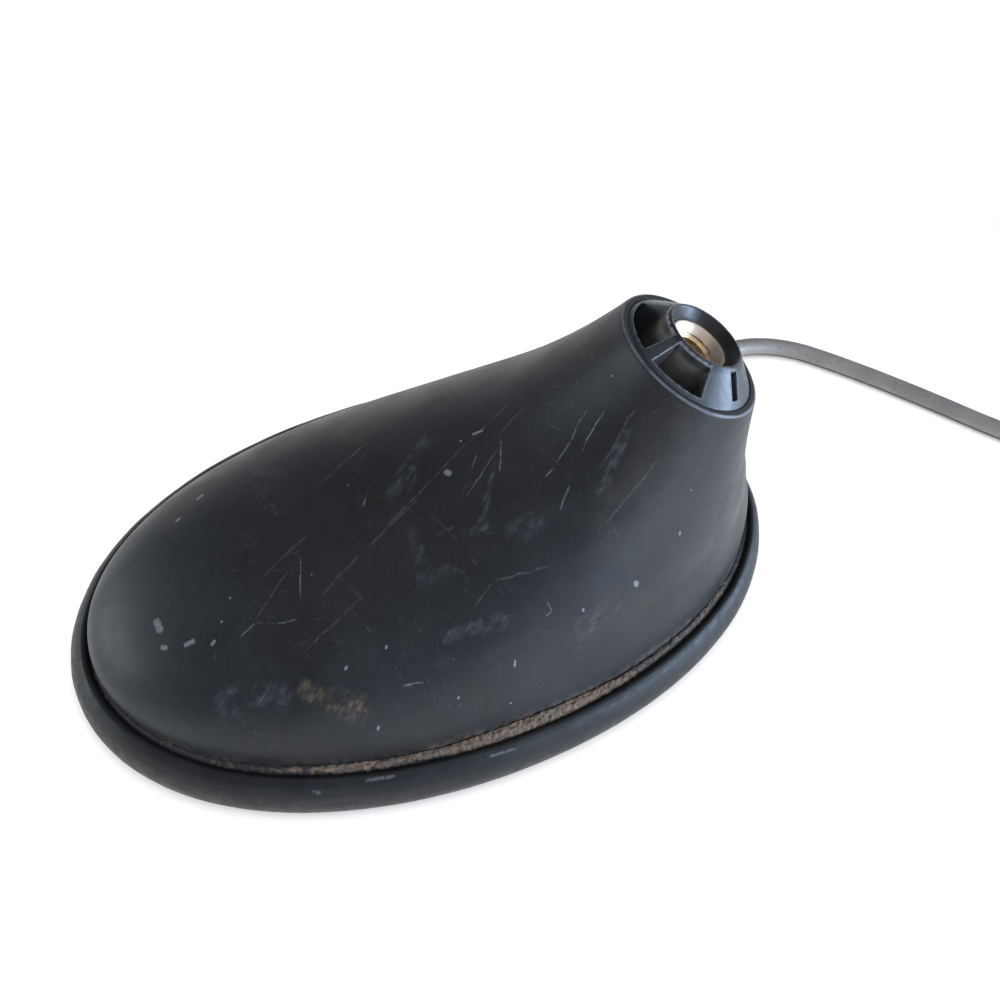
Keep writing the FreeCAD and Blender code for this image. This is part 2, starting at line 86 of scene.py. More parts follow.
CABLE_DIAMETER = 2.8
CABLE_RADIUS = CABLE_DIAMETER / 2
LEAD_EXIT = (48.6, 17.2, 2.2)
LEAD_HEADING = math.radians(35)
COIL_CENTRE = (129.2, -11.6)
COIL_RADIUS = 15.4
COIL_LOW = 1.95                 # centreline of the turns that lie on the tie
CONNECTOR_START = (144.8, 4.9, 5.3)


# ---------- mesh helpers
def on_neck(points):
    """Points given about the neck's axis, with the mouth at height 0, in the row frame."""
    return NECK_ORIGIN + np.asarray(points, float) @ NECK_FRAME


def ring(radius, height, angles):
    """Circle points about Z."""
    radius, height = np.broadcast_to(radius, angles.shape), np.broadcast_to(height, angles.shape)
    return np.stack([radius * np.cos(angles), radius * np.sin(angles), height], axis=1)


def full_turn(count):
    return np.arange(count) * 2 * math.pi / count


def add_object(name, data):
    thing = bpy.data.objects.new(name, data)
    scene.collection.objects.link(thing)
    return thing


def new_object(name, points, faces, sharp_degrees=40):
    """Mesh object from points in millimetres, smooth but for edges sharper than an angle."""
    mesh = bpy.data.meshes.new(name)
    mesh.from_pydata((np.asarray(points) * MM).tolist(), [], faces)
    mesh.validate()
    mesh.shade_smooth()
    mesh.set_sharp_from_angle(angle=math.radians(sharp_degrees))
    return add_object(name, mesh)


def stacked(name, rings, closed=False, sharp_degrees=40):
    """Closed solid through rings of equal count: capped at both ends, or joined end to end."""
    count, rows = len(rings[0]), len(rings)
    faces = []
    for row in range(rows if closed else rows - 1):
        low, high = row * count, (row + 1) % rows * count
        for column in range(count):
            following = (column + 1) % count
            faces.append((low + column, low + following, high + following, high + column))
    if not closed:
        faces.append(tuple(reversed(range(count))))
        faces.append(tuple(range((rows - 1) * count, rows * count)))
    return new_object(name, np.concatenate(rings), faces, sharp_degrees)


def apply_modifiers(piece, sharp_degrees=40):
    mesh = bpy.data.meshes.new_from_object(piece.evaluated_get(bpy.context.evaluated_depsgraph_get()))
    piece.modifiers.clear()
    piece.data = mesh
    mesh.set_sharp_from_angle(angle=math.radians(sharp_degrees))


def combine(piece, tools, operation):
    """Boolean of a piece with helper solids, which are used up."""
    for tool in tools:
        modifier = piece.modifiers.new("combine", "BOOLEAN")
        modifier.object, modifier.operation, modifier.solver = tool, operation, "MANIFOLD"
    apply_modifiers(piece)
    for tool in tools:
        bpy.data.objects.remove(tool)
    return piece


def rod(radius, low, high, place=(0, 0), count=48):
    """Upright round bar, as a helper solid."""
    offset = np.array([place[0], place[1], 0])
    return stacked("helper", [ring(radius, height, full_turn(count)) + offset for height in (low, high)])


def keep(piece, material, node=None, body="root"):
    """Give a new piece its material and body, and hide the CAD node it stands for."""
    piece.data.materials.clear()
    piece.data.materials.append(material)
    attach(piece, body)
    if node:
        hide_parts(node)
    return piece


# ---------- shader helpers
class Shading:
    """A node material that starts with a Principled shader and its object coordinates, in millimetres."""

    def __init__(self, name, colour=None, roughness=0.5, metallic=0.0):
        self.material = bpy.data.materials.new(name)
        self.material.use_nodes = True
        self.tree = self.material.node_tree
        self.tree.nodes.clear()
        self.shader = self.tree.nodes.new("ShaderNodeBsdfPrincipled")
        output = self.tree.nodes.new("ShaderNodeOutputMaterial")
        self.tree.links.new(self.shader.outputs[0], output.inputs[0])
        if colour:
            self.set("Base Color", (*colour, 1))
        self.set("Roughness", roughness)
        self.set("Metallic", metallic)
        place = self.tree.nodes.new("ShaderNodeTexCoord").outputs["Object"]
        self.place = self.vector("SCALE", place, Scale=1 / MM)

    def set(self, name, value):
        self.feed(self.shader.inputs[name], value)

    def feed(self, socket, value):
        if isinstance(value, bpy.types.NodeSocket):
            self.tree.links.new(value, socket)
        elif value is not None:
            socket.default_value = value

    def node(self, kind, inputs, **settings):
        """A shader node with its plain settings, and its inputs given as values or sockets."""
        node = self.tree.nodes.new("ShaderNode" + kind)
        for name, value in settings.items():
            setattr(node, name, value)
        for name, value in inputs.items():
            self.feed(node.inputs[name], value)
        return node

    def math(self, operation, first, second=None):
        return self.node("Math", {0: first, 1: second}, operation=operation).outputs[0]

    def vector(self, operation, first, second=None, **named):
        node = self.node("VectorMath", {0: first, 1: second, **named}, operation=operation)
        return node.outputs["Value" if operation in ("DOT_PRODUCT", "LENGTH") else "Vector"]

    def axis(self, index):
        return self.node("SeparateXYZ", {0: self.place}).outputs[index]

    def turned(self, angles, scale):
        """Coordinates turned by degrees about X, Y, Z and then stretched."""
        rotation = [math.radians(angle) for angle in angles]
        turned = self.node("Mapping", {"Vector": self.place, "Rotation": rotation}).outputs[0]
        return self.vector("MULTIPLY", turned, scale)

    def noise(self, size, detail=3.0, roughness=0.5, vector=None, distortion=0.0, output="Fac"):
        """Smooth noise from 0 to 1 whose features are about size millimetres across."""
        inputs = {"Vector": vector or self.place, "Scale": 1 / size, "Detail": detail, "Roughness": roughness,
                  "Distortion": distortion}
        return self.node("TexNoise", inputs).outputs[output]

    def cells(self, size, randomness=1.0):
        """Distance from the nearest of many points about size millimetres apart, as a share of that."""
        inputs = {"Vector": self.place, "Scale": 1 / size, "Randomness": randomness}
        return self.node("TexVoronoi", inputs).outputs["Distance"]

    def wave(self, vector, scale, **settings):
        return self.node("TexWave", {"Vector": vector, "Scale": scale}, **settings).outputs["Fac"]

    def attribute(self, name):
        return self.node("Attribute", {}, attribute_name=name).outputs["Fac"]

    def about_neck(self):
        """Height over the neck's mouth along its axis, and distance from that axis."""
        from_mouth = self.vector("SUBTRACT", self.place, tuple(NECK_ORIGIN))
        height = self.vector("DOT_PRODUCT", from_mouth, tuple(NECK_AXIS))
        along = self.vector("SCALE", tuple(NECK_AXIS), Scale=height)
        return height, self.vector("LENGTH", self.vector("SUBTRACT", from_mouth, along))

    def span(self, value, low, high, to_low=0.0, to_high=1.0):
        """Ease low..high to to_low..to_high, and stay level outside it."""
        inputs = {"Value": value, "From Min": low, "From Max": high, "To Min": to_low, "To Max": to_high}
        return self.node("MapRange", inputs, interpolation_type="SMOOTHSTEP", clamp=False).outputs[0]

    def mix(self, share, first, second):
        """Colour mix; colours are (r, g, b) or sockets."""
        first, second = ((*colour, 1) if isinstance(colour, tuple) else colour for colour in (first, second))
        return self.node("Mix", {0: share, 6: first, 7: second}, data_type="RGBA").outputs[2]

    def layered(self, colour, *layers):
        """A colour under layers given as (share, strength, colour), lowest first."""
        for share, strength, tint in layers:
            colour = self.mix(self.product(share, strength), colour, tint)
        return colour

    def product(self, *values):
        result = values[0]
        for value in values[1:]:
            result = self.math("MULTIPLY", result, value)
        return result

    def highest(self, values):
        """Highest of several values, each made only when its turn comes, which keeps the shader small."""
        values = iter(values)
        result = next(values)
        for value in values:
            result = self.math("MAXIMUM", result, value)
        return result

    def bump(self, height, depth, normal=None):
        """Relief of depth millimetres for heights from 0 to 1."""
        return self.node("Bump", {"Distance": depth * MM, "Height": height, "Normal": normal}).outputs[0]

    def streak(self, start, end, width, place, tapered=False):
        """1 along a straight mark between two points, falling to 0 at its width and, if tapered, at its ends.

        Points given in plan are taken at height 0.
        """
        begin = Vector(start).to_3d()
        along = Vector(end).to_3d() - begin
        offset = self.vector("SUBTRACT", place, tuple(begin))
        share = self.vector("DOT_PRODUCT", offset, tuple(along / max(along.length_squared, 1e-6)))
        share = self.math("MINIMUM", self.math("MAXIMUM", share, 0.0), 1.0)
        nearest = self.vector("SCALE", tuple(along), Scale=share)
        distance = self.vector("LENGTH", self.vector("SUBTRACT", offset, nearest))
        mark = self.span(distance, width * 0.25, width, 1.0, 0.0)
        if tapered:
            from_ends = self.math("MULTIPLY", share, self.math("SUBTRACT", 1.0, share))
            mark = self.product(mark, self.span(from_ends, 0.0, 0.16))
        return mark


# ---------- materials
def plastic(name, colour, roughness=0.45, grain=0.25, relief=0.008):
    """Moulded plastic or rubber with a fine grain and a slightly uneven, dusty colour."""
    s = Shading(name, roughness=roughness)
    cloud = s.noise(4.0, 4)
    lighter = tuple(min(1.0, part * 1.35 + 0.006) for part in colour)
    s.set("Base Color", s.mix(s.span(cloud, 0.35, 0.7), colour, lighter))
    s.set("Roughness", s.span(s.noise(1.5, 3), 0.3, 0.7, roughness - 0.08, roughness + 0.1))
    s.set("Normal", s.bump(s.noise(grain, 2), relief))
    return s.material


def metal(name, colour, worn, roughness=0.3, grain=0.4, relief=0.004):
    """Plated or bare metal: tarnish in clouds, fine marks and an uneven gloss."""
    s = Shading(name, metallic=1.0)
    cloud = s.noise(2.2, 5, 0.6)
    s.set("Base Color", s.mix(s.span(cloud, 0.42, 0.68), colour, worn))
    fine = s.noise(grain, 4, 0.7)
    s.set("Roughness", s.span(fine, 0.3, 0.7, roughness - 0.08, roughness + 0.16))
    s.set("Normal", s.bump(fine, relief))
    return s.material


def cast_zinc(name):
    """Sand-fine cast skin with dull flow marks."""
    s = Shading(name, metallic=0.85)
    flow = s.noise(6.0, 4, 0.6, s.turned((0, 0, 25), (1, 0.35, 1)), 0.8)
    s.set("Base Color", s.mix(s.span(flow, 0.35, 0.7), (0.42, 0.43, 0.45), (0.27, 0.28, 0.29)))
    pits = s.cells(0.35)
    s.set("Roughness", s.span(flow, 0.3, 0.7, 0.42, 0.62))
    s.set("Normal", s.bump(pits, 0.03, s.bump(s.noise(1.2, 3), 0.05)))
    return s.material


def solder_resist(name):
    """Green board: copper tracks show as raised, lighter lines, with vias spread over the ground."""
    s = Shading(name)
    bricks = {"Vector": s.turned((0, 0, 45), (0.28, 0.28, 0.28)), "Scale": 1.0, "Mortar Size": 0.045,
              "Mortar Smooth": 0.2, "Brick Width": 1.3, "Row Height": 0.42}
    track = s.node("TexBrick", bricks, offset=0.37).outputs["Fac"]
    vias = s.span(s.cells(2.1, randomness=0.15), 0.1, 0.14, 1.0, 0.0)
    resist = s.mix(s.noise(5.0, 3), (0.008, 0.085, 0.03), (0.012, 0.12, 0.045))
    resist = s.mix(track, resist, (0.03, 0.2, 0.075))
    s.set("Base Color", s.mix(vias, resist, (0.62, 0.6, 0.52)))
    s.set("Roughness", s.span(s.noise(0.8, 3), 0.3, 0.7, 0.22, 0.36))
    s.set("Normal", s.bump(s.highest([track, vias]), 0.03))
    return s.material


def braid(name):
    """Crossing tinned strands."""
    s = Shading(name, metallic=1.0, roughness=0.32)
    weave = s.highest(s.wave(s.turned((0, tilt, tilt), (1, 1, 1)), 1.3) for tilt in (35, -35))
    s.set("Base Color", s.mix(weave, (0.2, 0.19, 0.18), (0.72, 0.72, 0.7)))
    s.set("Normal", s.bump(weave, 0.08))
    return s.material


def windings(name):
    """Enamelled copper wire, wound round Z."""
    s = Shading(name, metallic=0.9, roughness=0.3)
    turns = s.wave(s.place, 1.1, bands_direction="Z")
    s.set("Base Color", s.mix(turns, (0.3, 0.1, 0.04), (0.72, 0.33, 0.16)))
    s.set("Normal", s.bump(turns, 0.08))
    return s.material


def nickel_brass(name):
    """Nickel plate with yellowed, brassy patches where it is worn."""
    s = Shading(name, metallic=1.0)
    worn = s.span(s.noise(2.4, 4, 0.55), 0.40, 0.80, 0.0, 0.7)
    plate = s.mix(s.noise(3.0, 3), (0.66, 0.63, 0.58), (0.52, 0.5, 0.46))
    s.set("Base Color", s.mix(worn, plate, (0.60, 0.50, 0.34)))
    s.set("Roughness", s.span(s.noise(0.5, 4, 0.7), 0.3, 0.7, 0.2, 0.42))
    s.set("Normal", s.bump(s.noise(0.25, 3), 0.006))
    return s.material


def bush_metal(name):
    """The rod bush: bright chamfer, golden brass, and painted shade deeper down the thread."""
    s = Shading(name, metallic=1.0)
    height, _ = s.about_neck()
    inside = s.span(height, 0.75, 0.15)
    cloud = s.span(s.noise(0.9, 5, 0.65), 0.4, 0.62)
    chamfer = s.mix(cloud, (0.60, 0.50, 0.41), (0.53, 0.42, 0.32))
    thread = s.mix(cloud, (0.80, 0.60, 0.34), (0.58, 0.41, 0.22))
    # The mask named grime darkens the thread with depth below the mouth: painted shade.
    grime = s.product(s.span(height, -2.6, -5.5), 0.85)
    colour = s.mix(grime, s.mix(inside, chamfer, thread), (0.05, 0.04, 0.03))
    s.set("Base Color", colour)
    s.set("Roughness", s.span(s.noise(0.4, 4, 0.7), 0.3, 0.7, 0.40, 0.56))
    s.set("Normal", s.bump(s.noise(0.2, 3), 0.008))
    return s.material


def cable_jacket(name):
    """Taupe PVC, faintly rippled along its length, with grime rubbed into it."""
    s = Shading(name)
    cloud = s.span(s.noise(5.0, 5, 0.6), 0.35, 0.7)
    grime = s.span(s.noise(1.1, 5, 0.7), 0.55, 0.75)
    colour = s.mix(cloud, (0.26, 0.225, 0.198), (0.205, 0.178, 0.156))
    s.set("Base Color", s.mix(s.product(grime, 0.6), colour, (0.085, 0.072, 0.062)))
    s.set("Roughness", s.span(cloud, 0.0, 1.0, 0.42, 0.58))
    ripple = s.noise(1.6, 2)
    s.set("Normal", s.bump(s.noise(0.16, 2), 0.006, s.bump(ripple, 0.03)))
    return s.material


# Wear, stains and painted sheen on the housing, in plan: (start, end, width) of each mark, in millimetres.
BRIGHT_SCRATCHES = [
    ((13.0, -2.0), (8.7, -5.5), 0.10), ((8.7, -5.5), (7.3, -6.0), 0.12), ((14.3, -3.3), (11.2, -5.6), 0.11),
    ((4.3, -0.3), (-0.6, -3.9), 0.10), ((4.8, 0.4), (3.5, -3.3), 0.14), ((2.0, 0.2), (1.0, -1.2), 0.12),
    ((9.7, -7.8), (8.1, -9.5), 0.14), ((-19.3, -1.9), (-20.7, -7.0), 0.12),
    ((-21.4, -8.6), (-23.8, -8.3), 0.12), ((-26.0, -7.3), (-28.0, -8.2), 0.10),
    ((5.1, -16.3), (5.4, -17.3), 0.11), ((5.4, -17.3), (4.7, -17.6), 0.10),
    ((-12.4, -18.6), (-9.8, -19.2), 0.14), ((-12.4, 4.4), (-12.1, 3.7), 0.12),
    ((-10.7, 1.4), (-11.3, 0.6), 0.16),
]
FAINT_SCRATCHES = [
    ((7.4, 4.2), (2.1, 2.5), 0.14), ((2.1, 2.5), (-10.4, -3.3), 0.18), ((-5.0, -1.3), (-12.4, -4.4), 0.21),
    ((-12.4, -4.4), (-18.5, -7.4), 0.18), ((-0.3, -12.7), (6.4, -13.7), 0.14),
    ((-0.3, -12.7), (-3.2, -14.8), 0.14), ((-17.5, 0.1), (-24.6, -3.0), 0.17),
    ((-20.9, -3.1), (-26.0, -7.3), 0.14), ((-28.0, -8.2), (-26.0, -7.3), 0.14),
    ((-23.8, -8.3), (-26.0, -7.3), 0.18), ((17.0, -4.7), (12.5, -7.9), 0.15),
    ((9.2, 3.0), (4.5, 0.8), 0.14), ((18.6, -9.4), (12.0, -12.4), 0.14), ((-8.0, 9.5), (-16.0, 5.5), 0.17),
    ((-14.0, -9.0), (-21.5, -12.2), 0.15),
]
SCUFFS = [
    ((1.6, -4.6), (0.3, -7.2), 0.75), ((3.4, -2.0), (1.6, -4.6), 0.42), ((-1.6, -7.3), (0.4, -7.6), 0.6),
    ((-5.0, -6.2), (-2.6, -6.3), 0.34), ((2.8, -9.0), (5.4, -9.0), 1.1), ((3.6, -10.3), (6.0, -9.6), 1.0),
    ((-7.2, -4.6), (-6.8, -8.0), 0.95), ((-7.4, -10.0), (-4.2, -10.1), 1.0),
    ((-6.2, -16.0), (-0.4, -16.4), 1.15), ((-2.0, 5.6), (-7.6, 0.6), 1.3),
    ((-21.6, 8.6), (-22.2, 6.0), 0.9), ((-22.2, 6.0), (-20.0, 4.2), 0.9),
    ((-23.3, 14.0), (-19.6, 10.2), 1.2), ((9.0, -19.4), (13.4, -18.6), 1.2),
    ((-31.0, -13.6), (-25.5, -15.2), 2.0), ((15.4, -6.4), (12.6, -9.2), 0.9),
]
WHITE_CHIPS = [
    ((-36.5, -2.8), (-36.3, -3.8), 0.75), ((-36.4, -5.8), (-36.1, -6.0), 0.5),
    ((-33.8, -6.6), (-33.0, -6.6), 0.5), ((-31.0, -7.7), (-30.7, -7.5), 0.34),
    ((-1.55, 0.0), (-1.35, -0.3), 0.62), ((15.9, -17.4), (16.2, -17.5), 0.4),
    ((9.2, -18.1), (9.25, -18.15), 0.28), ((0.5, -20.5), (0.6, -20.2), 0.26),
    ((-6.5, -21.4), (-6.45, -21.4), 0.24), ((-13.1, -14.8), (-13.0, -14.7), 0.26),
    ((21.6, -14.7), (21.65, -14.75), 0.24), ((2.6, 2.9), (3.5, 2.7), 0.3),
    ((-17.8, -15.2), (-17.7, -15.1), 0.3), ((-29.0, 11.9), (-29.6, 11.6), 0.4),
    ((-32.2, 9.5), (-32.5, 9.3), 0.36), ((-28.0, -3.7), (-28.0, -3.6), 0.2),
    ((-29.5, -5.8), (-29.4, -5.8), 0.22), ((-16.0, -21.3), (-15.9, -21.2), 0.26),
]
LIP_MARKS = [
    ((-24.6, -24.7, 5.9), (-24.2, -24.9, 5.7), 0.5), ((-18.6, -25.4, 6.3), (-15.6, -26.0, 6.3), 0.3),
    ((-4.0, -27.6, 6.1), (-1.0, -27.8, 6.1), 0.26),
]
BROWN_PATCHES = [
    ((-22.6, -15.6), (-21.6, -16.6), 1.3), ((-20.0, -17.6), (-17.4, -19.0), 1.7),
    ((2.9, 2.6), (1.9, 2.2), 0.3),
]
# Warm, lighter patches: the first a brownish film on the near flank, the other two painted sheen on the far
# side of the top.
HAZES_AND_SHEENS = [
    ((14.5, -12.0), (20.5, -9.0), 5.5), ((-9.0, 12.5), (-2.0, 14.5), 4.0),
    ((-33.0, 9.5), (-29.0, 13.0), 2.6),
]


def housing_plastic(name):
    """Black moulded plastic after years on a roof: bleached film, scratches, scuffs, chips and dust, with
    painted sheen on the nose and on the far side of the top.
    """
    s = Shading(name)
    s.shader.inputs["Specular IOR Level"].default_value = 0.30
    height = s.axis(2)
    flat = s.vector("MULTIPLY", s.place, (1, 1, 0))
    drift = s.vector("SUBTRACT", s.noise(1 / 0.35, 2.0, output="Color"), (0.5, 0.5, 0.5))
    plan = s.vector("ADD", flat, s.vector("MULTIPLY", drift, (0.7, 0.7, 0)))

    broken = s.span(s.noise(0.7, 4, 0.6), 0.34, 0.6, 0.15, 1.0)
    brushed = s.span(s.noise(0.55, 3, 0.55, s.turned((0, 0, -39), (0.16, 1, 0.4))), 0.36, 0.68, 0.1, 1.0)
    soft = s.span(s.noise(1.8, 4, 0.6), 0.36, 0.62)
    bright = s.product(s.highest(s.streak(*mark, plan, tapered=True) for mark in BRIGHT_SCRATCHES), broken)
    faint = s.product(s.highest(s.streak(*mark, plan, tapered=True) for mark in FAINT_SCRATCHES), broken)
    scuffed = s.product(s.highest(s.streak(*mark, plan) for mark in SCUFFS), brushed, soft)
    chips = s.highest(s.streak(*mark, flat) for mark in WHITE_CHIPS)
    chips = s.span(s.math("SUBTRACT", chips, s.product(s.noise(0.3, 5, 0.75), 1.1)), -0.15, 0.75)
    brown = s.product(s.highest(s.streak(*mark, plan) for mark in BROWN_PATCHES), brushed, soft)

    # Warm lighter patches from the hazes table: a brownish film, and painted sheen on the far side of the
    # top.
    haze_and_sheen = s.product(s.highest(s.streak(*mark, flat) for mark in HAZES_AND_SHEENS),
                     s.span(s.noise(2.2, 4, 0.6), 0.3, 0.7, 0.4, 1.0))

    hairlines = []
    for turn, size in ((-39, 0.16), (-55, 0.2), (8, 0.2), (64, 0.22)):
        thin = s.noise(size, 2, 0.5, s.turned((0, 0, turn), (0.022, 1, 0.25)))
        there = s.span(s.noise(7.0, 2, vector=s.turned((0, 0, turn), (0.5, 1, 1))), 0.47, 0.66)
        hairlines.append(s.product(s.span(thin, 0.64, 0.76), there))
    hairline = s.highest(hairlines)

    film = s.span(s.noise(9.0, 5, 0.55), 0.38, 0.72)
    rubbed = s.span(s.noise(2.6, 6, 0.68), 0.5, 0.74)
    speck = s.product(s.span(s.cells(3.1), 0.025, 0.05, 1.0, 0.0), s.span(s.noise(3.0, 2), 0.5, 0.6))

    above_mouth, outwards = s.about_neck()
    rim = s.product(s.span(above_mouth, -0.26, -0.12), s.span(outwards, 8.62, 8.78),
                    s.span(s.noise(1.6, 4, 0.6), 0.3, 0.55, 0.35, 1.0))
    # The nose end is tinted lighter and blue-grey by its position: painted sheen.
    nose_sheen = s.product(s.span(s.axis(0), -24.0, -44.0), s.span(s.noise(5.0, 3), 0.3, 0.6, 0.5, 1.0))
    near_foot = s.product(s.span(height, 8.2, 5.4), s.span(s.axis(1), -6.0, -20.0))
    foot_dust = s.product(near_foot, s.span(s.noise(1.0, 5, 0.7), 0.36, 0.62),
                          s.span(s.noise(9.0, 2), 0.4, 0.56, 0.25, 1.0))

    colour = s.mix(film, (0.0105, 0.0103, 0.0108), (0.0160, 0.0158, 0.0168))
    colour = s.layered(
        colour,
        (rubbed, 0.5, (0.021, 0.021, 0.023)),
        (haze_and_sheen, 0.55, (0.040, 0.035, 0.030)),
        (nose_sheen, 0.7, (0.017, 0.021, 0.024)),
        (hairline, 0.34, (0.10, 0.098, 0.095)),
        (faint, 0.4, (0.11, 0.103, 0.10)),
        (scuffed, 0.5, (0.085, 0.090, 0.102)),
        (bright, 0.55, (0.18, 0.185, 0.20)),
        (brown, 0.7, (0.15, 0.108, 0.075)),
        (foot_dust, 0.75, (0.19, 0.135, 0.095)),
        (rim, 0.7, (0.17, 0.168, 0.19)),
        (s.highest([chips, speck]), 0.75, (0.28, 0.295, 0.32)),
    )
    s.set("Base Color", colour)

    dull = s.highest([scuffed, foot_dust, chips, s.product(hairline, 0.6)])
    base_roughness = s.span(s.noise(6.0, 4, 0.6), 0.35, 0.7, 0.40, 0.50)
    s.set("Roughness", s.math("ADD", base_roughness, s.product(dull, 0.25)))
    cut = s.highest([bright, s.product(hairline, 0.5), s.product(faint, 0.5), chips])
    grain = s.bump(s.noise(0.22, 3, 0.6), 0.008)
    s.set("Normal", s.bump(s.math("SUBTRACT", 1.0, cut), 0.02, grain))
    return s.material


def gasket_rubber(name):
    """Black rubber, greyed on its crest, dusty at its foot, with light scuffs where it stands proud."""
    s = Shading(name)
    s.shader.inputs["Specular IOR Level"].default_value = 0.27
    height = s.axis(2)
    film = s.span(s.noise(6.0, 5, 0.6), 0.36, 0.7)
    low_dust = s.product(s.span(height, 3.6, 0.6), s.span(s.noise(5.0, 4, 0.6), 0.38, 0.6, 0.4, 1.0))
    streaks = s.span(s.noise(0.5, 4, 0.65, s.turned((0, 0, 8), (0.16, 1, 1.6))), 0.55, 0.68)
    crest = s.span(height, 5.0, 6.3)
    rubbed = s.product(crest, s.span(s.noise(2.6, 5, 0.7), 0.56, 0.7), streaks)
    marks = s.product(s.highest(s.streak(*mark, s.place) for mark in LIP_MARKS),
                      s.span(s.noise(0.4, 3), 0.3, 0.5))
    colour = s.mix(film, (0.0072, 0.0071, 0.0076), (0.0118, 0.0117, 0.0124))
    colour = s.layered(
        colour,
        (low_dust, 0.6, (0.040, 0.036, 0.027)),
        (rubbed, 0.65, (0.12, 0.12, 0.13)),
        (marks, 0.45, (0.17, 0.17, 0.19)),
    )
    s.set("Base Color", colour)
    s.set("Roughness", s.span(s.noise(1.4, 5, 0.7), 0.3, 0.7, 0.40, 0.58))
    grain = s.bump(s.noise(0.2, 3, 0.6), 0.010)
    s.set("Normal", s.bump(s.noise(1.3, 4, 0.6), 0.04, grain))
    return s.material


def insert_plastic(name):
    """Glass-filled plastic: grey bloom on the cone, pale worn edges, and painted light in the windows, on
    their floors and on the hub's wall.
    """
    s = Shading(name)
    s.shader.inputs["Specular IOR Level"].default_value = 0.38
    height, radius = s.about_neck()
    wear = s.attribute("edge_wear")
    collar = s.product(s.span(radius, 5.25, 4.9), s.span(height, 1.2, 1.8))
    cone_height = s.math("SUBTRACT", 6.38, s.math("MULTIPLY", radius, 0.8))
    sunk = s.math("SUBTRACT", cone_height, height)
    recessed = s.span(sunk, 0.25, 0.9)
    hub = s.product(recessed, s.span(radius, 5.6, 4.95), s.span(s.noise(2.5, 2), 0.25, 0.7, 0.4, 1.0))
    film = s.span(s.noise(2.4, 4, 0.55), 0.3, 0.7)
    colour = s.mix(film, (0.030, 0.033, 0.038), (0.041, 0.044, 0.050))
    # Window floors painted lighter than the cone: painted fill light against the shade in the recesses.
    colour = s.mix(recessed, colour, (0.040, 0.043, 0.048))
    # The hub's wall inside the windows is painted a light brown-grey: painted light on that wall.
    colour = s.mix(s.product(hub, 0.8), colour, (0.150, 0.130, 0.112))
    colour = s.mix(s.product(collar, 0.9), colour, (0.0055, 0.0055, 0.006))
    edge = s.product(wear, s.span(sunk, 0.3, 0.08),
                     s.span(s.noise(0.5, 3), 0.36, 0.56, 0.15, 1.0))
    colour = s.mix(s.product(edge, 0.6), colour, (0.32, 0.33, 0.34))
    s.set("Base Color", colour)
    s.set("Roughness", s.span(s.noise(1.0, 4, 0.6), 0.3, 0.7, 0.3, 0.45))
    s.set("Normal", s.bump(s.noise(0.18, 3, 0.6), 0.010))
    return s.material


def dirt(name):
    """Crumbly brown road dust, and the black film in the groove where there is little of it."""
    s = Shading(name)
    dust = s.attribute("dust")
    tone = s.span(s.noise(0.6, 5, 0.7), 0.32, 0.66)
    brown = s.mix(tone, (0.080, 0.052, 0.034), (0.235, 0.155, 0.100))
    brown = s.mix(s.product(s.span(s.noise(3.5, 3), 0.42, 0.6), 0.5), brown, (0.100, 0.085, 0.072))
    black = s.mix(tone, (0.009, 0.009, 0.010), (0.024, 0.023, 0.023))
    share = s.math("ADD", dust, s.span(s.noise(1.2, 4, 0.6), 0.3, 0.7, -0.3, 0.3))
    share = s.span(share, 0.08, 0.55)
    s.set("Base Color", s.mix(share, black, brown))
    s.set("Roughness", s.span(share, 0.0, 1.0, 0.55, 0.95))
    s.set("Normal", s.bump(s.noise(0.12, 4, 0.7), 0.05))
    return s.material


MATERIALS = {
    "housing_plastic": housing_plastic("housing_plastic_worn"),
    "gasket_rubber": gasket_rubber("gasket_rubber_worn"),
    "zinc_casting": cast_zinc("zinc_casting_skin"),
    "plated_steel": metal("plated_steel_worn", (0.58, 0.57, 0.54), (0.42, 0.4, 0.34), 0.3),
    "insert_plastic": insert_plastic("insert_plastic_worn"),
    "nickel_brass": nickel_brass("nickel_brass_worn"),
    "seal_rubber": plastic("seal_rubber_smooth", (0.014, 0.014, 0.015), 0.5, 0.3, 0.006),
    "spring_steel": metal("spring_steel_blued", (0.27, 0.28, 0.3), (0.2, 0.17, 0.14), 0.3),
    "tinned_bronze": metal("tinned_bronze_dull", (0.62, 0.6, 0.56), (0.5, 0.4, 0.28), 0.34),
    "board_laminate": solder_resist("board_laminate_green"),
    "tinplate": metal("tinplate_bright", (0.66, 0.66, 0.65), (0.5, 0.5, 0.49), 0.24, 0.6),
    "chip_epoxy": plastic("chip_epoxy_black", (0.016, 0.016, 0.017), 0.55, 0.12, 0.01),
    "chip_ceramic": plastic("chip_ceramic_tan", (0.36, 0.25, 0.15), 0.5, 0.2, 0.004),
    "copper_wire": windings("copper_wire_wound"),
    "cable_jacket": cable_jacket("cable_jacket_pvc"),
    "tinned_braid": braid("tinned_braid_strands"),
    "dielectric": plastic("dielectric_white", (0.7, 0.7, 0.67), 0.35, 0.5, 0.003),
    "tie_nylon": plastic("tie_nylon_black", (0.018, 0.018, 0.019), 0.38, 0.4, 0.006),
    "gold_contact": metal("gold_contact_plate", (0.78, 0.55, 0.2), (0.62, 0.43, 0.17), 0.2),
}
for part in frame["record"]["subparts"]:
    node = frame["nodes"][part["node"]]
    node.data.materials.clear()
    node.data.materials.append(MATERIALS[part["material_slot"]])


# ---------- camera
CAMERA_AZIMUTH, CAMERA_ELEVATION, CAMERA_ROLL = (math.radians(angle) for angle in (-28.95, 58.09, 10.44))
CAMERA_TARGET = Vector((10.34, 14.82, 0))
CAMERA_DISTANCE = 117.4
CAMERA_SENSOR, CAMERA_LENS = 36, 26.82
CAMERA_SHIFT = (0.0229, -0.0377)


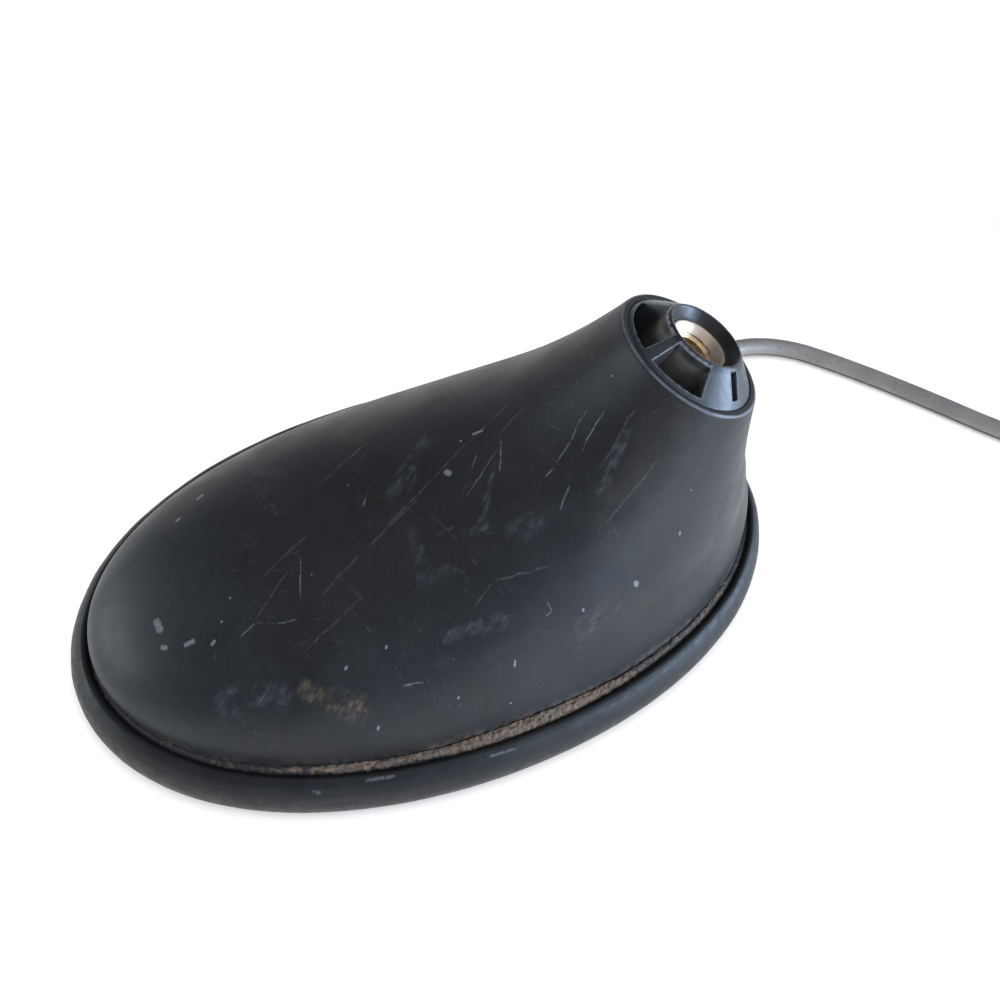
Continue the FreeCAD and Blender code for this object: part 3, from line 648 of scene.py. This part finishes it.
def add_camera():
    """Close phone view from above the nose's right, rolled a little, with the neck at the right."""
    across, ahead = math.sin(CAMERA_AZIMUTH), math.cos(CAMERA_AZIMUTH)
    back = Vector((across * math.cos(CAMERA_ELEVATION), -ahead * math.cos(CAMERA_ELEVATION),
                   math.sin(CAMERA_ELEVATION)))
    level = Vector((ahead, across, 0))
    upright = back.cross(level)
    right = math.cos(CAMERA_ROLL) * level + math.sin(CAMERA_ROLL) * upright
    up = math.cos(CAMERA_ROLL) * upright - math.sin(CAMERA_ROLL) * level
    data = bpy.data.cameras.new("camera")
    data.sensor_width, data.lens = CAMERA_SENSOR, CAMERA_LENS
    data.shift_x, data.shift_y = CAMERA_SHIFT
    data.clip_start, data.clip_end = 0.001, 10
    camera = add_object("camera", data)
    turn = Matrix((right, up, back)).transposed().to_4x4()
    camera.matrix_world = Matrix.Translation((CAMERA_TARGET + back * CAMERA_DISTANCE) * MM) @ turn
    scene.camera = camera


# ---------- lead, coil and connector
# The lead's route from the gasket to the coil, and its tail into the connector's boot.
LEAD_ROUTE = [
    LEAD_EXIT,
    (LEAD_EXIT[0] + 8.6 * math.cos(LEAD_HEADING), LEAD_EXIT[1] + 8.6 * math.sin(LEAD_HEADING), LEAD_EXIT[2]),
    (64.3, 23.4, 1.6),
    (72.7, 20.7, CABLE_RADIUS),
    (79.4, 15.0, CABLE_RADIUS),
    (85.9, 8.8, CABLE_RADIUS),
    (92.8, 1.6, CABLE_RADIUS),
    (99.5, -5.8, CABLE_RADIUS),
    (109.4, -14.8, 1.55),
]
TAIL_ROUTE = [(144.8, -3.4, 5.3), (144.8, 12.9, 5.3)]


def ease(value, low, high):
    share = min(1.0, max(0.0, (value - low) / (high - low)))
    return share * share * (3 - 2 * share)


COIL_START = math.radians(-139)
TURNS = 2.385
POINTS_PER_TURN = 22


def coil_turns():
    """Two turns beside each other and the rest in the valley on top of them, anticlockwise."""
    outer, inner = COIL_RADIUS + CABLE_RADIUS, COIL_RADIUS - CABLE_RADIUS
    widen = 1 / math.cos(math.pi / POINTS_PER_TURN)     # control points stand outside the curve they make
    points = []
    count = round(TURNS * POINTS_PER_TURN)
    for step in range(count + 1):
        at = TURNS * step / count
        first_radius = outer + (inner - outer) * ease(at, 0.7, 0.95)
        if at < 1.45:
            radius, height = first_radius, COIL_LOW
        elif at < 1.72:
            climb = math.radians(180 - 60 * ease(at, 1.45, 1.72))
            radius = outer + CABLE_DIAMETER * math.cos(climb)
            height = COIL_LOW + CABLE_DIAMETER * math.sin(climb)
        else:
            below = outer + (inner - outer) * ease(at - 1, 0.7, 0.95)
            radius = COIL_RADIUS
            height = COIL_LOW + math.sqrt(CABLE_DIAMETER ** 2 - (radius - below) ** 2)
        angle = COIL_START + 2 * math.pi * at
        points.append((COIL_CENTRE[0] + widen * radius * math.cos(angle),
                       COIL_CENTRE[1] + widen * radius * math.sin(angle), height))
    return points


def add_cable():
    curve = bpy.data.curves.new("lead_cable", "CURVE")
    curve.dimensions = "3D"
    curve.bevel_depth = CABLE_RADIUS * MM
    curve.bevel_resolution = 7
    curve.use_fill_caps = True
    route = LEAD_ROUTE + coil_turns() + TAIL_ROUTE
    spline = curve.splines.new("NURBS")
    spline.points.add(len(route) - 1)
    for control, place in zip(spline.points, route):
        control.co = (*(part * MM for part in place), 1)
    spline.order_u = 3
    spline.use_endpoint_u = True
    spline.resolution_u = 8
    cable = add_object("lead_cable", curve)
    keep(cable, MATERIALS["cable_jacket"])
    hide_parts("antenna_cable", "cable_coil", "cable_tail")
    return cable


def node_copy(node, name):
    """A new mesh object with a CAD node's shape, welded so that it can be cut."""
    source = frame["nodes"][node].data
    work = bmesh.new()
    work.from_mesh(source)
    bmesh.ops.remove_doubles(work, verts=work.verts, dist=1e-6)
    mesh = bpy.data.meshes.new(name)
    work.to_mesh(mesh)
    work.free()
    return add_object(name, mesh)


def thread_tool(minor, major, pitch, low, high, place):
    """Bar with a right-handed 60-degree thread, placed by a function from its own axis to the row frame."""
    angles = full_turn(72)
    rings = []
    for height in np.arange(low, high + 1e-9, pitch / 12):
        phase = np.mod(height / pitch - angles / (2 * math.pi), 1.0)
        crest = np.clip(1.35 * (1 - np.abs(2 * phase - 1)) - 0.15, 0, 1)
        rings.append(place(ring(minor + (major - minor) * crest, height, angles)))
    return stacked("helper", rings)


def threaded(node, name, minor, major, pitch, low, high, place, slot, body="root", material=None):
    """A CAD node with its plain thread bore cut to the real thread."""
    piece = combine(node_copy(node, name), [thread_tool(minor, major, pitch, low, high, place)], "DIFFERENCE")
    piece.data.shade_smooth()
    piece.data.set_sharp_from_angle(angle=math.radians(24))
    return keep(piece, material or MATERIALS[slot], node, body)


def on_connector(points):
    """Points given about Z, on the connector's axis, which points along +Y."""
    points = np.asarray(points, float)
    return np.array(CONNECTOR_START) + np.stack([points[:, 0], points[:, 2], -points[:, 1]], axis=1)


# ---------- housing
def spline_share(poles, shares):
    """Points of a clamped cubic spline with even knots, at shares of its range."""
    poles = np.array(poles, float)
    degree, count = 3, len(poles)
    knots = np.concatenate([np.zeros(degree), np.linspace(0, 1, count - degree + 1), np.ones(degree)])
    shares = np.clip(np.asarray(shares, float), 0, 1 - 1e-9)
    basis = [((shares >= low) & (shares < high)).astype(float) for low, high in zip(knots, knots[1:])]
    for order in range(1, degree + 1):
        raised = []
        for k in range(len(knots) - 1 - order):
            rise, fall = knots[k + order] - knots[k], knots[k + order + 1] - knots[k + 1]
            value = basis[k] * (shares - knots[k]) / rise if rise else 0 * shares
            if fall:
                value = value + basis[k + 1] * (knots[k + order + 1] - shares) / fall
            raised.append(value)
        basis = raised
    return np.stack(basis, axis=1) @ poles


EDGE_X = HALF_LENGTH - HOUSING_INSET
EDGE_Y = HALF_WIDTH * (1 - SQUARENESS) - HOUSING_INSET
MOUTH_FRONT = NECK_ORIGIN - NECK_DOWN * MOUTH_RADIUS
MOUTH_REAR = NECK_ORIGIN + NECK_DOWN * MOUTH_RADIUS
FRONT_POLES = [(-EDGE_X, 5.5), (-47.2, 11.6), (-31.2, 17.5), (-6.9, 23.3), (10.8, 32.7), MOUTH_FRONT[[0, 2]]]
REAR_POLES = [(EDGE_X, 5.5), (45.7, 10.0), (42.4, 13.6), (40.7, 19.3), (36.6, 25.7), MOUTH_REAR[[0, 2]]]
SIDE_POLES = [(EDGE_Y,), (23.0,), (20.4,), (17.6,), (12.6,), (MOUTH_RADIUS,)]
HOUSING_COLUMNS = 320


def housing_rings(shares, inwards=0.0, lower=0.0):
    """Sections of the housing from its edge (share 0) to its mouth (share 1)."""
    angles = full_turn(HOUSING_COLUMNS)
    front, rear = spline_share(FRONT_POLES, shares), spline_share(REAR_POLES, shares)
    sides = spline_share(SIDE_POLES, shares)[:, 0]
    rings = []
    for share, nose, tail, side in zip(shares, front, rear, sides):
        middle, half = (nose + tail) / 2, (tail - nose) / 2
        half = half * (1 - inwards / np.linalg.norm(half))
        fullness = SQUARENESS * (1 - share) ** 4 * (1 + np.cos(2 * angles))
        rings.append(np.stack([middle[0] + half[0] * np.cos(angles),
                               (side - inwards) * np.sin(angles) * (1 + fullness),
                               middle[1] - lower + half[1] * np.cos(angles)], axis=1))
    return rings


def rounded_to(before, corner, after, steps=5):
    """Rings that turn a corner smoothly, between the ring before it and the ring after it."""
    made = []
    for share in np.linspace(0, 1, steps + 2)[1:]:
        made.append((1 - share) ** 2 * before + 2 * share * (1 - share) * corner + share ** 2 * after)
    return made


def add_housing():
    """Moulded cover: outside skin with a rounded rim and edge, hollow inside, with its screw bosses."""
    angles = full_turn(HOUSING_COLUMNS)
    shares = np.concatenate([np.linspace(0, 0.9, 120), np.linspace(0.9, 0.996, 26)[1:]])
    outside = housing_rings(shares)
    edge, skirt = outside[0] - [0, 0, 0.6], outside[0] - [0, 0, 1.0]
    towards_middle = 1 - 0.3 / np.linalg.norm(skirt[:, :2], axis=1, keepdims=True)
    under = skirt * np.concatenate([towards_middle, towards_middle, np.ones_like(towards_middle)], axis=1)
    rings = [under] + rounded_to(under, skirt, edge, 3) + outside
    rim = on_neck(ring(MOUTH_RADIUS, 0, angles))
    rim_flat = on_neck(ring(MOUTH_RADIUS - 0.32, 0, angles))
    rings += rounded_to(outside[-1], rim, rim_flat, 6)
    bore_flat = on_neck(ring(NECK_BORE + 0.08, 0, angles))
    bore_edge = on_neck(ring(NECK_BORE, 0, angles))
    bore_wall = on_neck(ring(NECK_BORE, -0.1, angles))
    rings += [bore_flat] + rounded_to(bore_flat, bore_edge, bore_wall, 3)
    rings += [on_neck(ring(NECK_BORE, height, angles)) for height in (-2, -4, -6, -8)]
    shell = stacked("housing_cover", rings)

    hollow_shares = np.linspace(0, 0.8, 40)
    hollow_rings = housing_rings(hollow_shares, inwards=WALL, lower=1.6)
    hollow = stacked("helper", [hollow_rings[0] - [0, 0, 1.0]] + hollow_rings)
    pocket = stacked("helper", [on_neck(ring(9.8, height, full_turn(96))) for height in (-19, -7.5)])
    hollow = combine(hollow, [pocket], "UNION")
    hollow = combine(hollow, [rod(SCREW_CLEARANCE, -1, 16, place) for place in SCREW_PLACES], "DIFFERENCE")
    shell = combine(shell, [hollow] + [rod(1.4, 3, 11.6, place, 24) for place in SCREW_PLACES], "DIFFERENCE")
    return keep(shell, MATERIALS["housing_plastic"], "housing_shell")


# ---------- gasket and the dirt in its groove
def oval(inset, height, angles):
    """The foot's outline moved inwards by inset, at a height; both may change along the outline."""
    c, s = np.cos(angles), np.sin(angles)
    full = 1 + SQUARENESS * np.cos(2 * angles)
    dx = -HALF_LENGTH * s
    dy = HALF_WIDTH * (c * full - 2 * SQUARENESS * s * np.sin(2 * angles))
    length = np.hypot(dx, dy)
    return np.stack([HALF_LENGTH * c - inset * dy / length, HALF_WIDTH * s * full + inset * dx / length,
                     np.broadcast_to(height, angles.shape)], axis=1)


def smooth_profile(points, per_run):
    """Catmull-Rom curve through (inset, height) points."""
    points = np.array([points[0], *points, points[-1]], float)
    made = []
    for a, b, c, d in zip(points, points[1:], points[2:], points[3:]):
        for t in np.linspace(0, 1, per_run, endpoint=False):
            made.append(0.5 * (2 * b + (c - a) * t + (2 * a - 5 * b + 4 * c - d) * t ** 2
                               + (3 * b - a - 3 * c + d) * t ** 3))
    return made + [points[-1]]


def ripple(angles, seed, size=1.0):
    """Smooth noise from -1 to 1 along the outline."""
    return np.array([noise.noise(Vector((size * 6 * math.cos(a), size * 6 * math.sin(a), seed)))
                     for a in angles])


LIP_SHIFT = 1.05                # how far the far side of the lip is pressed inwards
LIP_SINK = 0.17                 # share of its height it loses there


def drawn_in(angles):
    """How far the lip is pressed towards the housing, from 0 to 1: most on the far side of the nose."""
    share = np.clip(0.5 + 0.62 * np.cos(angles - math.radians(75)), 0, 1)
    return share * share * (3 - 2 * share)


def add_gasket():
    """Rubber gasket: bulging lip, groove, ledge under the housing, and the web under the base plate."""
    angles = full_turn(480)
    uneven = 0.06 * (1 + ripple(angles, 3.1)) + 0.03 * (1 + ripple(angles, 8.7, 3))
    pressed = drawn_in(angles)
    lip_points = [(0.8, 0.0), (0.15, 0.8), (0.0, 1.7), (0.2, 3.1), (0.9, 4.7), (1.8, 5.9), (2.55, 6.42)]
    lip = smooth_profile(lip_points, 5)
    crest = smooth_profile([(2.55, 6.42), (2.85, 6.47), (3.15, 6.36), (3.38, 6.05)], 3)
    groove = [(3.56, 5.6), (3.65, 5.1), (3.7, 4.62), (3.82, LEDGE_HEIGHT), (6.5, LEDGE_HEIGHT), (6.6, 4.4),
              (6.6, 1.6)]
    rings = []
    for inset, height in lip + crest[1:]:
        inwards = inset + uneven * min(1, height / 3) + LIP_SHIFT * pressed * (1 - inset / 3.7)
        rings.append(oval(inwards, height * (1 - LIP_SINK * pressed) - uneven * 0.4 * (height > 5), angles))
    for inset, height in groove:
        lower = LIP_SINK * pressed * max(0, height - LEDGE_HEIGHT) / (LIP_HEIGHT - LEDGE_HEIGHT)
        rings.append(oval(inset, height * (1 - lower), angles))
    hole = ring(8.3, 0, angles)
    rings += [hole + [0, 0, 1.6], hole]
    gasket = stacked("roof_gasket", rings, closed=True)

    heading = Matrix.Rotation(LEAD_HEADING, 3, "Z")

    def along_lead(points):
        """From about Z to along the lead, outwards from its exit."""
        turned = np.stack([points[:, 2], -points[:, 0], points[:, 1]], axis=1)
        return np.array(LEAD_EXIT) + turned @ np.array(heading).T

    low, high = -9.2, 1.0
    channel = stacked("helper", [along_lead(ring(2.1, height, full_turn(48))) for height in (low, high)])
    bore = stacked("helper", [along_lead(ring(1.75, height, full_turn(48))) for height in (-20, low + 0.1)])
    slot_corners = np.array([(-2.1, -3.0), (2.1, -3.0), (2.1, 0.0), (-2.1, 0.0)])
    slot = stacked("helper", [along_lead(np.column_stack([slot_corners, np.full(4, height)]))
                              for height in (low, high)])
    holes = [rod(SCREW_CLEARANCE, -1, 3, place, 40) for place in SCREW_PLACES]
    combine(gasket, holes + [channel, bore, slot], "DIFFERENCE")
    return keep(gasket, MATERIALS["gasket_rubber"], "base_gasket")


def dirt_amount(angles):
    """How dusty the groove is, from 0 to 1: most along the near flank, least on the far side."""
    degrees = np.degrees(angles)
    near = np.exp(-((degrees - 273) / 15) ** 2)
    right = 0.34 * np.exp(-((degrees - 308) / 18) ** 2)
    left = 0.42 * np.exp(-((degrees - 246) / 12) ** 2)
    return np.clip(near + right + left + 0.06 * ripple(angles, 5.5, 1.6), 0.0, 1.0)


def add_dirt():
    """Dust packed into the groove between lip and housing, with loose crumbs along it."""
    angles = full_turn(2000)
    amount = dirt_amount(angles)
    lip_top = LIP_HEIGHT * (1 - LIP_SINK * drawn_in(angles))
    steps = 10
    rings = [oval(3.75, 4.42, angles)]
    for step in range(steps):
        share = step / (steps - 1)
        inset = 3.42 + share * (0.85 + 0.5 * amount)
        crumble = np.array([noise.fractal(Vector((x / 0.45, y / 0.45, share * 3.0)), 0.8, 2.1, 4)
                            for x, y, _ in oval(inset, 0, angles)])
        settled = lip_top - 0.62 + 0.25 * amount + share * (0.25 + 0.6 * amount)
        arch = 0.16 * math.sin(math.pi * share)
        height = settled + arch + 0.10 * crumble * (0.35 + 1.9 * amount)
        rings.append(oval(inset, height, angles))
    rings.append(oval(4.6, 4.42, angles))
    packed = stacked("groove_dirt", rings, closed=True, sharp_degrees=60)
    spread = 0.14 + 0.6 * amount
    dustiness = [amount] + [np.exp(-((step / (steps - 1) - 0.6) / spread) ** 2) * np.minimum(1, 1.5 * amount)
                            for step in range(steps)] + [amount]

    pick = random.Random(11)
    work = bmesh.new()
    work.from_mesh(packed.data)
    for _ in range(320):
        turn = pick.gauss(math.radians(272), math.radians(15))
        here = float(dirt_amount(np.array([turn % (2 * math.pi)]))[0])
        inset = pick.uniform(3.2, 4.75)
        size = pick.uniform(0.04, 0.12)
        place = oval(inset, LIP_HEIGHT - 0.5 + (inset - 3.4) * 0.5 * (0.3 + here), np.array([turn]))[0]
        made = bmesh.ops.create_icosphere(work, subdivisions=1, radius=size * MM,
                                          matrix=Matrix.Translation(Vector(place * MM)))
        for corner in made["verts"]:
            corner.co += Vector([pick.uniform(-0.25, 0.25) * size * MM for _ in range(3)])
        dustiness.append(np.ones(len(made["verts"])))
    work.to_mesh(packed.data)
    work.free()
    dust = packed.data.attributes.new("dust", "FLOAT", "POINT")
    dust.data.foreach_set("value", np.concatenate(dustiness).astype(np.float32))
    return keep(packed, dirt("road_dust"))


# ---------- neck insert
def refined(low, high, step, places, reach, fine):
    """Evenly spaced numbers, closer together around given places."""
    values = set(np.round(np.arange(low, high + 1e-9, step), 4))
    for place in places:
        values |= set(np.round(np.arange(max(low, place - reach), min(high, place + reach) + 1e-9, fine), 4))
    return np.array(sorted(values))


def recess(inside, depth, edge=0.13, wall=0.06):
    """Drop of a surface across the border of a recess: rounded top edge, steep wall, rounded foot."""
    top = edge * (1 - np.sqrt(np.clip(1 - ((inside + edge) / edge) ** 2, 0, 1)))
    foot = depth - edge * (1 - np.sqrt(np.clip(1 - ((wall + edge - inside) / edge) ** 2, 0, 1)))
    side = edge + (depth - 2 * edge) * inside / wall
    drop = np.where(inside < -edge, 0, np.where(inside < 0, top, np.where(inside < wall, side, foot)))
    return np.where(inside > wall + edge, depth, drop)


WINDOWS = [(-65, 2), (14, 63)]          # degrees from the nose side towards -Y
WINDOW_RADII = (4.9, 7.6)
WINDOW_FLOOR = -4.2
SLOT_ANGLE = 102


def add_insert():
    """Cone with two windows, a slot and a funnel collar round the bush, on its sealed barrel."""
    borders = [value for window in WINDOWS for value in window]
    degrees = refined(-180, 179.5, 0.75, borders, 3.2, 0.2)
    degrees = np.array(sorted(set(degrees) | set(refined(SLOT_ANGLE - 9, SLOT_ANGLE + 9, 0.25, [], 0, 1))))
    around = np.radians(180 + degrees)
    radii = refined(4.62, 8.1, 0.08, WINDOW_RADII, 0.24, 0.03)[::-1]

    def cone(radius):
        return -0.1 + (8.1 - radius) * 2.8 / 3.5

    rings = [ring(radius, height, around) for radius, height in
             [(3.6, -9.0), (9.5, -9.0), (9.5, -7.5), (8.1, -7.5), (8.1, -7.1), (6.65, -7.1), (6.65, -5.5),
              (8.1, -5.5), (8.1, -0.18)]]
    wear_rows = [np.zeros(len(around)) for _ in rings]
    for radius in radii:
        drop, wear = np.zeros(len(around)), np.zeros(len(around))
        for first, last in WINDOWS:
            middle, half = math.radians((first + last) / 2), math.radians((last - first) / 2)
            sideways = (half - np.abs(np.radians(degrees) - middle)) * radius
            inside = np.minimum(sideways, min(radius - WINDOW_RADII[0], WINDOW_RADII[1] - radius))
            drop = np.maximum(drop, recess(inside, cone(radius) - WINDOW_FLOOR))
            wear = np.maximum(wear, np.exp(-((inside + 0.02) / 0.1) ** 2))
        offset = np.radians(degrees - SLOT_ANGLE)
        across = 0.55 - np.abs(radius * np.sin(offset))
        inside = np.minimum(across, min(radius - 4.9, 7.3 - radius)) + 0 * across
        inside = np.where(np.abs(offset) < 1, inside, -1)
        drop = np.maximum(drop, recess(inside, cone(radius) + 0.9, 0.1, 0.05))
        wear = np.maximum(wear, 0.6 * np.exp(-((inside + 0.02) / 0.08) ** 2))
        rings.append(ring(radius, cone(radius) - drop, around))
        wear_rows.append(wear)
    collar = [(4.55, 2.68), (4.46, 2.7), (4.36, 2.66), (4.25, 2.5), (4.0, 2.12), (3.75, 1.74), (3.62, 1.5),
              (3.6, 1.3), (3.6, -2.0)]
    rings += [ring(radius, height, around) for radius, height in collar]
    wear_rows += [np.full(len(around), 0.5 if height > 2.6 else 0.0) for radius, height in collar]
    insert = stacked("neck_insert", [on_neck(points) for points in rings], closed=True, sharp_degrees=50)
    wear = insert.data.attributes.new("edge_wear", "FLOAT", "POINT")
    wear.data.foreach_set("value", np.concatenate(wear_rows).astype(np.float32))
    return keep(insert, MATERIALS["insert_plastic"], "mast_insert")


# ---------- studio
def add_area(name, place, aim, width, height, power, colour):
    data = bpy.data.lights.new(name, "AREA")
    data.shape, data.size, data.size_y = "RECTANGLE", width, height
    data.energy, data.color = power, colour
    light = add_object(name, data)
    light.location = place
    light.rotation_euler = (Vector(aim) - Vector(place)).to_track_quat("-Z", "Y").to_euler()
    return light


def link_light(light, thing, state):
    """Light only one object, or everything but it."""
    receivers = bpy.data.collections.new(light.name + "_receivers")
    receivers.objects.link(thing)
    receivers.collection_objects[0].light_linking.link_state = state
    light.light_linking.receiver_collection = receivers


def add_studio():
    size = 3.0
    corners = [(-size, -size, 0), (size, -size, 0), (size, size, 0), (-size, size, 0)]
    floor = new_object("floor", np.array(corners) / MM, [(0, 1, 2, 3)])
    s = Shading("floor_paper", roughness=0.85)
    s.set("Base Color", s.mix(s.noise(60.0, 3), (0.80, 0.80, 0.80), (0.83, 0.83, 0.83)))
    s.set("Normal", s.bump(s.noise(1.5, 3), 0.01))
    floor.data.materials.append(s.material)

    world = bpy.data.worlds.new("soft_sky")
    world.use_nodes = True
    tree = world.node_tree
    direction = tree.nodes.new("ShaderNodeTexCoord")
    parts = tree.nodes.new("ShaderNodeSeparateXYZ")
    tree.links.new(direction.outputs["Generated"], parts.inputs[0])
    fade = tree.nodes.new("ShaderNodeMapRange")
    fade.inputs["From Min"].default_value, fade.inputs["From Max"].default_value = 0.05, 0.6
    fade.inputs["To Min"].default_value, fade.inputs["To Max"].default_value = 0.60, 0.27
    tree.links.new(parts.outputs["Z"], fade.inputs["Value"])
    background = tree.nodes["Background"]
    background.inputs["Color"].default_value = (0.78, 0.87, 1.0, 1)
    tree.links.new(fade.outputs[0], background.inputs["Strength"])
    scene.world = world
    sky_lights = [
        add_area("sky_right", (0.60, -0.50, 0.17), (0.03, 0, 0.02), 0.9, 0.30, 15.0, (0.56, 0.74, 1.0)),
        add_area("sky_nose", (-0.60, 0.16, 0.16), (-0.02, 0, 0.01), 0.5, 0.25, 2.0, (0.84, 0.94, 1.0)),
    ]
    for light in sky_lights:
        link_light(light, floor, "EXCLUDE")
    add_area("top_soft", (0.20, -0.30, 0.90), (0, 0, 0), 1.2, 1.2, 3.0, (1.0, 0.98, 0.96))
    sun = bpy.data.lights.new("floor_fill", "SUN")
    sun.energy, sun.angle = 3.2, math.radians(80)
    floor_fill = add_object("floor_fill", sun)
    floor_fill.location = (0, 0, 1)
    link_light(floor_fill, floor, "INCLUDE")
    scene.view_settings.view_transform = "Standard"


# ---------- put together
add_camera()
lead = add_cable()
add_studio()
add_housing()
add_gasket()
add_dirt()
add_insert()

threaded("mast_bush", "rod_bush", 2.07, 2.5, 0.8, -8.2, 0.72, on_neck, "nickel_brass",
         material=bush_metal("bush_metal_worn"))
threaded("fixing_insert", "roof_bolt_insert", 2.45, 3.0, 1.0, 0.1, 6.9, np.asarray, "plated_steel")
nut = threaded("coupling_nut", "screw_coupling", 3.98, 4.32, 0.75, 22.4, 31.9, on_connector, "nickel_brass",
               "connector_nut")
